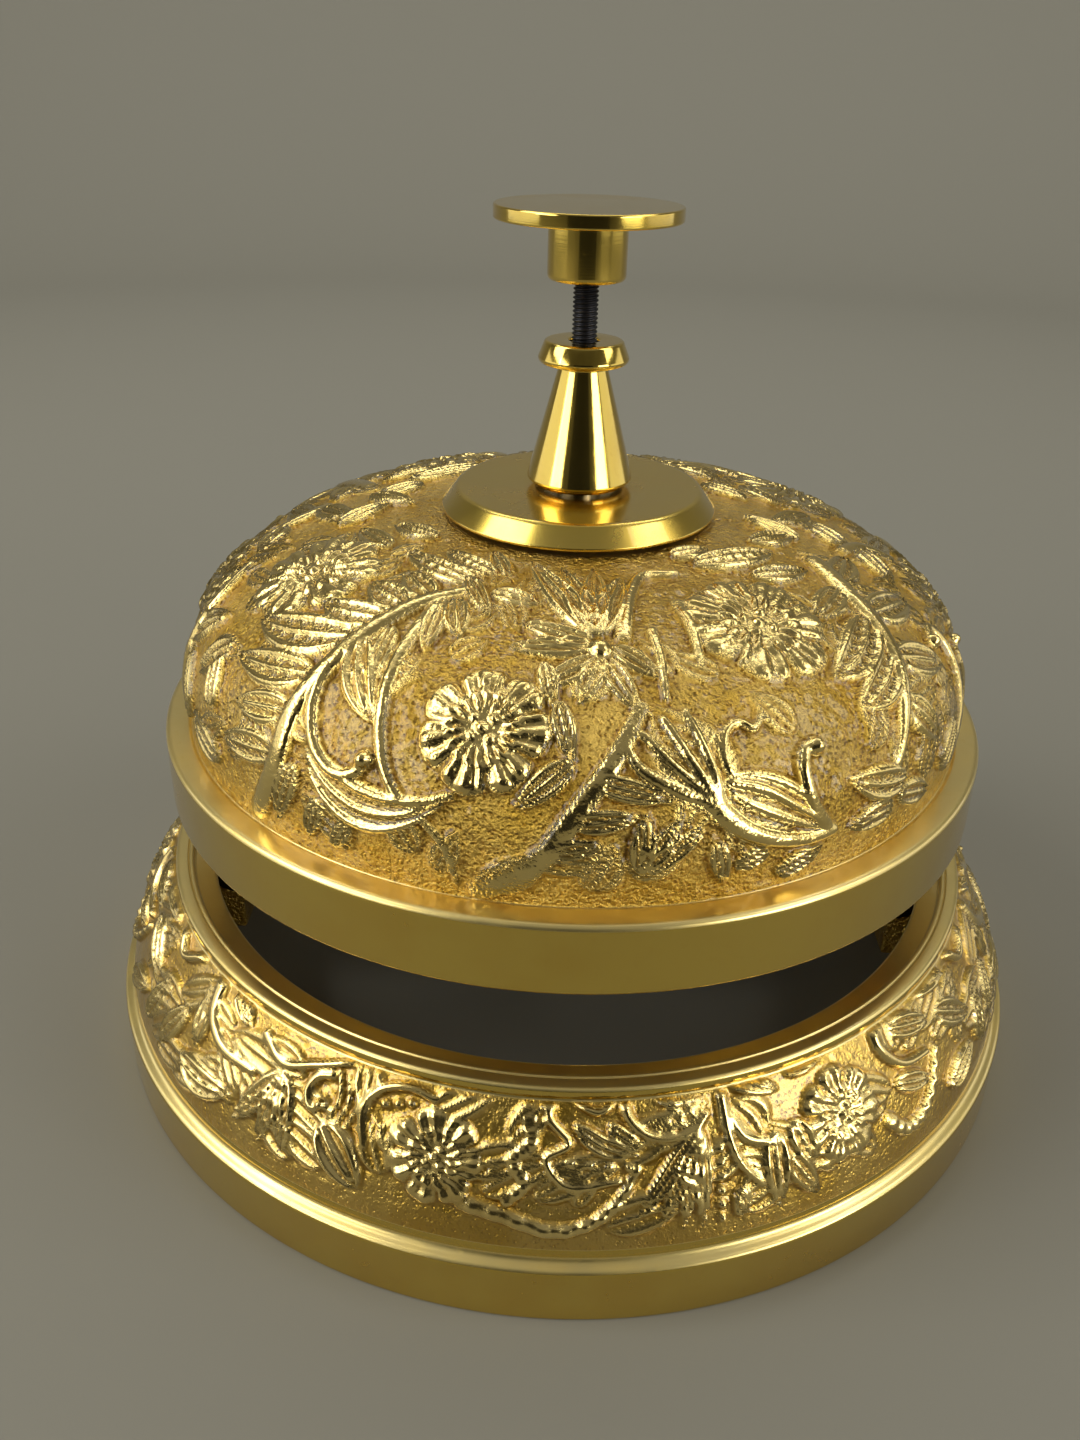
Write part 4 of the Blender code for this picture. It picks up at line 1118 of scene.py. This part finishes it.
def creases(height: np.ndarray) -> np.ndarray:
    """Return how far each point lies under its surroundings, in millimetres.

    Args:
        height: The relief's heights, in rings, in millimetres.

    Returns:
        Depths from 0 to 1, in the same rings.
    """
    around = height.copy()
    for _ in range(3):
        around = (around + np.roll(around, 1, 1) + np.roll(around, -1, 1)) / 3
        around[1:-1] = (around[:-2] + around[1:-1] + around[2:]) / 3
    return np.clip(around - height, 0, 1)


@dataclass
class Casting:
    """A turned casting whose outside carries relief between two plain stretches."""

    name: str
    upper: Section
    slope: Section
    lower: Section
    relief: Relief
    columns: int
    rows: int
    level_from: float = 0.35

    def build(self) -> bpy.types.Object:
        """Make the casting, with how proud and how hollow each point is kept in its mesh.

        Returns:
            The casting, with no finish yet.
        """
        slope = self.even_slope()
        sections = [np.array(self.upper), slope, np.array(self.lower)]
        tangent = np.gradient(slope, axis=0)
        normal = np.stack([-tangent[:, 1], tangent[:, 0]], -1)
        normal /= np.linalg.norm(normal, axis=1, keepdims=True)
        steps = np.hypot(*np.diff(slope, axis=0).T) / MM
        rise = np.concatenate([np.cumsum(steps[::-1])[::-1], [0.0]])
        smooth = rings(slope, self.columns)
        turn = angles(self.columns)
        height = self.relief.heights(Field(turn, rise, slope[:, 0] / MM), smooth)
        lift = height[..., None] * MM
        out = normal[:, None, :1] * np.stack([np.sin(turn), -np.cos(turn)], -1)[None]
        smooth[..., :2] += lift * out
        smooth[..., 2:] += lift * normal[:, None, 1:]
        points = np.concatenate([rings(sections[0], self.columns), smooth, rings(sections[2], self.columns)])
        obj = grid_object(self.name, points, True)
        even_light(obj)
        self.keep_numbers(obj, height)
        return obj

    def even_slope(self) -> np.ndarray:
        """Return the slope's section with its rows spread evenly.

        Returns:
            The section's points, one to a row.
        """
        section = np.array(self.slope)
        run = np.concatenate([[0], np.cumsum(np.hypot(*np.diff(section, axis=0).T))])
        even = np.linspace(0, run[-1], self.rows)
        return np.stack([np.interp(even, run, section[:, 0]), np.interp(even, run, section[:, 1])], -1)

    def keep_numbers(self, obj: bpy.types.Object, height: np.ndarray) -> None:
        """Store the relief's numbers on the mesh and mark the plain stretches as polished, with their
        upward-facing faces in paler satin brass as a painted sheen.

        Args:
            obj: The casting.
            height: The relief's heights, in rings, in millimetres.
        """
        above, below = len(self.upper), len(self.lower)
        pad = ((above, below), (0, 0))
        for name, values in (("proud", height), ("crease", creases(height))):
            attribute = obj.data.attributes.new(name, "FLOAT", "POINT")
            attribute.data.foreach_set("value", np.pad(values, pad).astype(np.float32).ravel())
        count = len(obj.data.polygons)
        row = np.arange(count) // self.columns
        plain = (row < above) | (row >= above + self.rows - 1)
        normals = np.empty(count * 3, np.float32)
        obj.data.polygons.foreach_get("normal", normals)
        # Upward-facing plain faces get the paler brass, a painted sheen where light falls on top
        level = plain & (normals[2::3] > self.level_from)
        obj.data.polygons.foreach_set("material_index", plain.astype(np.int32) + level)


@dataclass
class Dome:
    """The cast bell: a plain band at the mouth, a ledge, and a full crown with relief."""

    radius: float = 52.4 * MM
    mouth: float = 36.5 * MM
    ledge: float = 45.0 * MM
    crown: float = 69.9 * MM
    shell_radius: float = 49.1 * MM
    inner_radius: float = 46.1 * MM
    inner_rise: float = 22.2 * MM
    land_radius: float = 16.4 * MM
    bore: float = 2.8 * MM
    power: float = 2.85
    edge: float = 0.8 * MM
    hollow_start: float = 8.3 * MM
    columns: int = 960
    rows: int = 190

    def crown_points(self, reach: float, rise: float, first: float, count: int) -> Section:
        """Return a crown's section from a first radius out to its foot.

        Args:
            reach: The crown's radius at its foot.
            rise: Its height above the ledge.
            first: The radius to start at.
            count: Steps on the way.

        Returns:
            The section's points.
        """
        start = math.acos((first / reach) ** (self.power / 2))
        section = []
        for i in range(count + 1):
            angle = start * (1 - i / count)
            radius = reach * math.cos(angle) ** (2 / self.power)
            section.append((radius, self.ledge + rise * math.sin(angle) ** (2 / self.power)))
        return section

    def build(self) -> None:
        """Make the bell and hand it over."""
        hollow = self.crown_points(self.inner_radius, self.inner_rise, self.hollow_start, 14)
        lower = rounded(
            [
                (self.shell_radius + 0.15 * MM, self.ledge - 0.05 * MM, 0),
                (self.shell_radius + 0.4 * MM, self.ledge + 0.1 * MM, 0.2 * MM),
                (self.radius, self.ledge, self.edge),
                (self.radius, self.mouth, 0.5 * MM),
                (self.inner_radius, self.mouth, 0.4 * MM),
                (hollow[-1][0], hollow[-1][1], 0),
            ],
            6,
        )
        casting = Casting(
            "dome_casting",
            [(self.bore, self.ledge + self.inner_rise), (self.bore, self.crown)],
            self.crown_points(self.shell_radius, self.crown - self.ledge, self.land_radius, 400),
            lower + list(reversed(hollow[:-1])),
            Relief(
                DOME_SPRAY + DOME_GROUND,
                copies=(0.0, 180.0),
                scale=1.15,
                foot_fade=0.4,
                top_fade=0.8,
                sand=0.12,
            ),
            self.columns,
            self.rows,
        )
        obj = casting.build()
        hand_over(obj, Body.FRAME, Slot.CAST_BRASS, [RELIEF, BAND, MACHINED_WITH_SHEEN], "bell_dome")


@dataclass
class Base:
    """The cast ring that the bell stands on: a band, a sloping flank with relief, and a flat rim."""

    radius: float = 62.0 * MM
    band: float = 7.5 * MM
    ledge: float = 1.3 * MM
    run: float = 7.2 * MM
    rise: float = 15.8 * MM
    belly: float = 5.4 * MM
    rim_width: float = 2.4 * MM
    rim_rise: float = 1.6 * MM
    lip_width: float = 2.8 * MM
    lip_drop: float = 1.0 * MM
    lip_thickness: float = 1.8 * MM
    wall: float = 3.2 * MM
    fillet: float = 1.7 * MM
    lug_reach: float = 12 * MM
    lug_root: float = 1 * MM
    lug_height: float = 6.5 * MM
    lug_gap: float = 0.3 * MM
    lug_inset: float = 1 * MM
    columns: int = 1080
    rows: int = 72

    def flank(self, inset: float, count: int) -> Section:
        """Return the flank's section from the rim down to the ledge, moved inwards by inset.

        Args:
            inset: How far under the outside it lies.
            count: Points on the way.

        Returns:
            The section's points.
        """
        top = Vector((self.radius - self.ledge - self.run, self.band + self.rise))
        knee = Vector((self.radius - self.ledge, self.band + self.belly))
        low = Vector((self.radius - self.ledge, self.band))
        section = []
        for i in range(count):
            t = i / (count - 1)
            point = (1 - t) ** 2 * top + 2 * t * (1 - t) * knee + t**2 * low
            slope = 2 * (1 - t) * (knee - top) + 2 * t * (low - knee)
            section.append(tuple(point + Vector((slope.y, -slope.x)).normalized() * inset))
        return section

    def build(self) -> None:
        """Make the ring with its lugs and hand them over."""
        rim_outer = self.radius - self.ledge - self.run
        rim_inner = rim_outer - self.rim_width
        lip_inner = rim_inner - self.lip_width
        foot = self.band + self.rise
        top = foot + self.rim_rise
        lip_top = top - self.lip_drop
        under = lip_top - self.lip_thickness
        inside = [point for point in self.flank(self.wall, 12) if point[1] < under]
        line = 0.12 * MM
        slope = [point for point in self.flank(0.0, 200) if point[1] > self.band + self.fillet]
        upper = rounded(
            [
                (inside[0][0], under, 0),
                (lip_inner, under, 0.3 * MM),
                (lip_inner, lip_top - 0.3 * MM, 0.4 * MM),
                (rim_inner - 0.1 * MM, lip_top, 0.2 * MM),
                (rim_inner, top, 0.35 * MM),
                (rim_inner + 0.50 * MM, top, line),
                (rim_inner + 0.62 * MM, top - 0.22 * MM, line),
                (rim_inner + 0.74 * MM, top, line),
                (rim_outer - 0.1 * MM, top - 0.1 * MM, 0.9 * MM),
                (rim_outer, foot + 0.5 * MM, 0.3 * MM),
                (rim_outer - 0.2 * MM, foot + 0.1 * MM, 0),
            ],
            5,
        )
        lower = rounded(
            [
                (slope[-1][0] + 0.02 * MM, slope[-1][1] - 0.05 * MM, 0),
                (slope[-1][0] + 0.10 * MM, self.band + 0.25 * MM, 1.1 * MM),
                (self.radius, self.band - 0.2 * MM, 0.55 * MM),
                (self.radius, 0.0, 0.3 * MM),
                (self.radius - self.ledge - self.wall, 0.0, 0.3 * MM),
                (inside[-1][0], inside[-1][1], 0),
            ],
            6,
        )
        casting = Casting(
            "base_casting",
            upper,
            slope,
            lower + list(reversed(inside[1:-1])),
            Relief(
                BASE_SPRAY + BASE_GROUND,
                copies=(0.0, 120.0, 240.0),
                scale=1.2,
                foot_fade=0.8,
                top_fade=0.6,
                sand=0.06,
            ),
            self.columns,
            self.rows,
        )
        obj = casting.build()
        hand_over(obj, Body.FRAME, Slot.CAST_BRASS, [SOFT_RELIEF, BAND, MACHINED_WITH_SHEEN], "base_ring")
        self.build_lugs()

    def build_lugs(self) -> None:
        """Make the two lugs inside the ring that the bar is screwed to."""
        bar_low, bar_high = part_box("bridge_bar")
        wall = self.radius - self.ledge - self.wall
        top = bar_low.z - self.lug_gap
        half = (bar_high.y - bar_low.y) / 2 - self.lug_inset
        for side, label in ((-1, "left"), (1, "right")):
            near = side * (wall - self.lug_reach)
            far = side * (wall + self.lug_root)
            corners = ((min(near, far), -half, top - self.lug_height), (max(near, far), half, top))
            obj = rounded_block("base_lug_" + label, corners, 0.5 * MM)
            hand_over(obj, Body.FRAME, Slot.CAST_BRASS, [RELIEF])


def rounded_block(name: str, corners: tuple[Point, Point], edge: float) -> bpy.types.Object:
    """Make a block between two corners, with rounded edges.

    Args:
        name: The object's name.
        corners: Its lowest and highest corner.
        edge: The width of its rounded edges.

    Returns:
        The object.
    """
    work = bmesh.new()
    bmesh.ops.create_cube(work, size=1.0)
    low, high = Vector(corners[0]), Vector(corners[1])
    size = high - low
    matrix = Matrix.Translation((low + high) / 2) @ Matrix.Diagonal((*size, 1.0))
    bmesh.ops.transform(work, matrix=matrix, verts=work.verts)
    mesh = bpy.data.meshes.new(name)
    work.to_mesh(mesh)
    work.free()
    mesh.shade_smooth()
    obj = bpy.data.objects.new(name, mesh)
    bpy.context.scene.collection.objects.link(obj)
    soften(obj, edge)
    return obj


def soften(obj: bpy.types.Object, edge: float) -> None:
    """Round the sharp edges a little, with the light kept even on the flats.

    Args:
        obj: The piece, which gets a modifier.
        edge: The width of the rounding.
    """
    bevel = obj.modifiers.new("Edges", "BEVEL")
    bevel.width = edge
    bevel.segments = 3
    bevel.limit_method = "ANGLE"
    bevel.angle_limit = SHARP_ANGLE
    bevel.harden_normals = True


@dataclass
class Top:
    """What stands on the crown: the bevelled washer and the turned nut with its cone."""

    columns: int = 144
    washer_bevel: float = 1.9 * MM
    washer_bore: float = 2.8 * MM
    collar_radius: float = 5.45 * MM
    collar_flare: float = 0.85 * MM
    collar_height: float = 2.6 * MM
    waist_radius: float = 2.9 * MM
    cone_radius: float = 6.45 * MM
    foot_radius: float = 5.4 * MM
    foot_height: float = 0.5 * MM
    waist_step: float = 0.4 * MM
    rod_bore: float = 1.8 * MM

    def build(self) -> None:
        """Make both pieces and hand them over."""
        self.build_washer()
        self.build_nut()

    def build_washer(self) -> None:
        """Make the washer, flat on top with a wide bevel."""
        low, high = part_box("cap_washer")
        radius = high.x
        flat = radius - self.washer_bevel
        section = rounded(
            [
                (self.washer_bore, high.z, 0),
                (flat, high.z, 0.5 * MM),
                (radius, low.z + 0.3 * MM, 0.25 * MM),
                (radius - 0.1 * MM, low.z, 0.1 * MM),
                (self.washer_bore, low.z, 0),
            ],
            6,
        )
        obj = turned("cap_disc", section, self.columns)
        hand_over(obj, Body.FRAME, Slot.POLISHED_BRASS, [SATIN], "cap_washer")

    def build_nut(self) -> None:
        """Make the nut: a flared collar over a cone on a small foot."""
        low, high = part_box("finial_nut")
        collar = self.collar_radius
        collar_foot = high.z - self.collar_height
        cone_foot = low.z + self.foot_height
        section = rounded(
            [
                (self.rod_bore, high.z - 1 * MM, 0),
                (self.rod_bore, high.z, 0.3 * MM),
                (collar - self.collar_flare, high.z, 0.35 * MM),
                (collar, collar_foot + 0.5 * MM, 0.3 * MM),
                (collar - 0.3 * MM, collar_foot, 0.3 * MM),
                (self.waist_radius, collar_foot - self.waist_step, 0.3 * MM),
                (self.cone_radius, cone_foot + 0.35 * MM, 0.2 * MM),
                (self.cone_radius - 0.3 * MM, cone_foot, 0.2 * MM),
                (self.foot_radius, cone_foot - 0.05 * MM, 0.15 * MM),
                (self.foot_radius, low.z, 0),
                (self.rod_bore, low.z, 0),
            ],
            7,
        )
        obj = turned("crown_nut", section, self.columns)
        hand_over(obj, Body.FRAME, Slot.POLISHED_BRASS, [TURNED], "finial_nut")


@dataclass
class Plunger:
    """The push button and the threaded rod that it is screwed on."""

    columns: int = 144
    boss_radius: float = 4.55 * MM
    bore_radius: float = 1.8 * MM
    bore_depth: float = 4.6 * MM
    thickness: float = 1.6 * MM
    pitch: float = 0.5 * MM
    thread_depth: float = 0.27 * MM
    chamfer_length: float = 0.8 * MM
    chamfer_depth: float = 0.35 * MM
    thread_rows: int = 7
    rod_columns: int = 22

    def build(self) -> None:
        """Make both pieces and hand them over."""
        low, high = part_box("push_button")
        radius = high.x
        under = high.z - self.thickness
        section = rounded(
            [
                (0.0, high.z, 0),
                (radius, high.z, 0.28 * MM),
                (radius, under, 0.25 * MM),
                (self.boss_radius, under, 0.35 * MM),
                (self.boss_radius, low.z, 0.7 * MM),
                (self.bore_radius, low.z, 0.2 * MM),
                (self.bore_radius, low.z + self.bore_depth, 0),
                (0.0, low.z + self.bore_depth, 0),
            ],
            6,
        )
        obj = turned("button_disc", section, self.columns, closed=False)
        hand_over(obj, Body.PLUNGER, Slot.POLISHED_BRASS, [TURNED], "push_button")
        self.build_rod()

    def build_rod(self) -> None:
        """Make the rod with a real screw thread along it."""
        low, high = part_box("plunger_rod")
        radius = high.x
        length = high.z - low.z
        rows = int(length / self.pitch * self.thread_rows)
        height = np.linspace(high.z, low.z, rows)
        turn = angles(self.rod_columns)
        wave = 0.5 + 0.5 * np.cos(2 * math.pi * height[:, None] / self.pitch - turn[None, :])
        from_end = np.minimum(high.z - height, height - low.z)
        chamfer = 1 - step(from_end, -1e-9, self.chamfer_length)
        depth = self.thread_depth * (1 - wave**0.8) + self.chamfer_depth * chamfer[:, None]
        across = radius - depth
        across[[0, -1]] = 0.0
        level = np.broadcast_to(height[:, None], across.shape)
        points = np.stack([across * np.sin(turn), -across * np.cos(turn), level], -1)
        obj = grid_object("threaded_rod", points, False)
        hand_over(obj, Body.PLUNGER, Slot.BLACK_STEEL, [BLACK_STEEL], "plunger_rod")


@dataclass
class Works:
    """What is under the bell: nodes carried over with softened edges, the coil and the hammer's ball."""

    edge: float = 0.12 * MM
    weld: float = 0.002 * MM
    travel: float = 5.5 * MM
    ball_rows: int = 24
    ball_columns: int = 48
    brass: tuple[str, ...] = ("center_post", "pivot_spacer_left", "pivot_spacer_right")
    black: tuple[str, ...] = ("bridge_bar", "hammer_bracket")
    leather: tuple[str, ...] = ("dome_pad",)
    bright: tuple[str, ...] = (
        "bracket_nut",
        "bridge_screw_left",
        "bridge_screw_right",
        "dome_sleeve",
        "hammer_lever",
        "head_rivet",
        "height_nut",
        "pin_clip",
        "pivot_pin",
        "post_nut",
        "post_washer",
        "spring_nut",
        "striker_nut",
    )

    def build(self, nodes: dict[str, bpy.types.Object]) -> None:
        """Dress the carried-over nodes, and make the coil and the ball.

        Args:
            nodes: The frame's nodes, by name.
        """
        groups = (
            (self.brass, TURNED),
            (self.black, BLACK_STEEL),
            (self.bright, BRIGHT_STEEL),
            (self.leather, LEATHER),
        )
        for names, finish in groups:
            for name in names:
                self.dress(nodes[name], finish)
        self.build_spring(nodes["return_spring"])
        self.build_ball()

    def dress(self, obj: bpy.types.Object, finish: Finish) -> None:
        """Give a carried-over node its finish, welded, smooth and with softened edges.

        Args:
            obj: The node.
            finish: Its finish.
        """
        obj.data.materials.clear()
        obj.data.materials.append(finish.material())
        normals = obj.data.attributes.get("custom_normal")
        if normals:
            obj.data.attributes.remove(normals)
        obj.data.shade_smooth()
        weld = obj.modifiers.new("Weld", "WELD")
        weld.merge_threshold = self.weld
        soften(obj, self.edge)
        LOG.info("%s carried over", obj.name)

    def build_spring(self, node: bpy.types.Object) -> None:
        """Make the coil on the post's floor, as a copy of the frame's coil.

        Args:
            node: The frame's own coil, which is copied.
        """
        obj = bpy.data.objects.new("lifting_coil", node.data.copy())
        bpy.context.scene.collection.objects.link(obj)
        self.dress(obj, BRIGHT_STEEL)
        hand_over(obj, Body.FRAME, Slot.BRIGHT_STEEL, [], "return_spring")
        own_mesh(obj)

    def build_ball(self) -> None:
        """Make the hammer's brass ball."""
        low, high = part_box("hammer_head")
        centre = (low + high) / 2
        radius = (high.x - low.x) / 2
        fall = np.linspace(0, math.pi, self.ball_rows + 1)
        section = np.stack([radius * np.sin(fall), radius * np.cos(fall)], -1)
        section[[0, -1], 0] = 0.0
        obj = grid_object("hammer_ball", rings(section, self.ball_columns), False)
        obj.location = centre
        hand_over(obj, Body.HAMMER, Slot.POLISHED_BRASS, [TURNED], "hammer_head")


@dataclass(frozen=True)
class SoftLight:
    """A soft light panel that faces the bell. Places and sizes are in millimetres."""

    name: str
    place: Point
    size: tuple[float, float]
    radiance: float
    aim: Point = (0.0, 0.0, 60.0)

    def build(self) -> None:
        """Hang the light, out of the camera's sight."""
        light = bpy.data.lights.new(self.name, "AREA")
        light.shape = "RECTANGLE"
        light.size, light.size_y = self.size[0] * MM, self.size[1] * MM
        light.energy = self.radiance * math.pi * light.size * light.size_y
        light.color = WINDOW_COLOUR
        obj = bpy.data.objects.new(self.name, light)
        obj.location = Vector(self.place) * MM
        aim = Vector(self.aim) * MM - obj.location
        obj.rotation_euler = aim.to_track_quat("-Z", "Y").to_euler()
        obj.visible_camera = False
        bpy.context.scene.collection.objects.link(obj)


STUDIO_LIGHTS: tuple[SoftLight, ...] = (
    SoftLight("left_window", (-500, -120, 500), (340, 420), 4.7),
    SoftLight("right_window", (500, -110, 480), (280, 340), 3.1),
    SoftLight("low_right_window", (470, -370, 175), (280, 240), 6.5),
    SoftLight("low_left_window", (-470, -370, 240), (280, 240), 5.0),
    SoftLight("left_card", (-640, -60, 150), (620, 260), 1.0),
    SoftLight("right_card", (650, 60, 150), (560, 260), 0.85),
    SoftLight("ceiling", (0, 300, 860), (1000, 600), 0.42),
    SoftLight("wall_wash", (0, 350, 700), (900, 300), 4.2, (0, 900, 160)),
)


@dataclass
class Studio:
    """The plain pale bowl that the bell stands in, its soft lights and the camera."""

    floor_colour: Colour = (0.215, 0.206, 0.168)
    floor_radius: float = 620 * MM
    bowl_radius: float = 900 * MM
    bowl_height: float = 780 * MM
    curve_steps: int = 16
    columns: int = 96
    world_light: float = 0.20
    world_sides: float = 0.12
    flag_low: Point = (-235 * MM, -522 * MM, 2 * MM)
    flag_high: Point = (235 * MM, -520 * MM, 330 * MM)
    camera_place: Point = (0.0, -149.11 * MM, 119.75 * MM)
    pitch: float = 28.263
    yaw: float = -1.562
    roll: float = 1.427
    lens: float = 31.12

    def build(self) -> None:
        """Make the bowl, the light and the camera."""
        self.build_bowl()
        self.build_world()
        for light in STUDIO_LIGHTS:
            light.build()
        self.build_flag()
        self.build_camera()

    def build_bowl(self) -> None:
        """Make the floor, which curves up all round without a corner."""
        reach = self.bowl_radius - self.floor_radius
        section = [(self.bowl_radius, self.bowl_height)]
        for i in range(self.curve_steps + 1):
            angle = math.pi / 2 * (1 - i / self.curve_steps)
            radius = self.floor_radius + reach * math.sin(angle)
            section.append((radius, reach * (1 - math.cos(angle))))
        section.append((0.0, 0.0))
        obj = grid_object("floor", rings(np.array(section), self.columns), False)
        obj.data.materials.append(Matt("floor", self.floor_colour, 0.8, 0.2).material())

    def build_world(self) -> None:
        """Light the scene evenly, a little brighter from the sides than from the front and from above."""
        world = bpy.data.worlds.new("studio")
        bpy.context.scene.world = world
        world.use_nodes = True
        recipe = Recipe(world.node_tree)
        way = recipe.node("ShaderNodeTexCoord", out="Generated")
        side = recipe.node("ShaderNodeSeparateXYZ", sockets={0: way}, out="X")
        strength = side * side * self.world_sides + self.world_light
        background = world.node_tree.nodes["Background"]
        recipe.feed(background.inputs["Color"], WORLD_COLOUR)
        recipe.feed(background.inputs["Strength"], strength)

    def build_flag(self) -> None:
        """Hang a narrow dark flag over the front, which draws the dark line down polished brass."""
        obj = rounded_block("flag", (self.flag_low, self.flag_high), 0.5 * MM)
        obj.data.materials.append(Matt("flag", (0.01, 0.01, 0.01), 1.0).material())
        obj.visible_camera = False

    def build_camera(self) -> None:
        """Set up the camera, which looks down on the bell from the front."""
        pitch, yaw, roll = (math.radians(a) for a in (self.pitch, self.yaw, self.roll))
        ahead = Vector((math.sin(yaw) * math.cos(pitch), math.cos(yaw) * math.cos(pitch), -math.sin(pitch)))
        level = Vector((math.cos(yaw), -math.sin(yaw), 0.0))
        above = level.cross(ahead)
        right = math.cos(roll) * level + math.sin(roll) * above
        up = math.cos(roll) * above - math.sin(roll) * level
        camera = bpy.data.cameras.new("camera")
        camera.sensor_width = 36.0
        camera.lens = self.lens
        camera.clip_start = 5 * MM
        camera.clip_end = 10.0
        obj = bpy.data.objects.new("camera", camera)
        turn = Matrix((right, up, -ahead)).transposed().to_4x4()
        obj.matrix_world = Matrix.Translation(self.camera_place) @ turn
        bpy.context.scene.collection.objects.link(obj)
        bpy.context.scene.camera = obj


def clear_scene() -> None:
    """Remove what a new scene starts with."""
    for obj in list(bpy.data.objects):
        bpy.data.objects.remove(obj)


def main() -> None:
    """Build the bell and its studio round the frame."""
    logging.basicConfig(level=logging.INFO, format="%(name)s: %(message)s")
    clear_scene()
    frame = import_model()
    bpy.context.scene.view_settings.view_transform = "Standard"
    Studio().build()
    Base().build()
    Dome().build()
    Top().build()
    Plunger().build()
    Works().build(frame["nodes"])


if __name__ == "__main__":
    main()
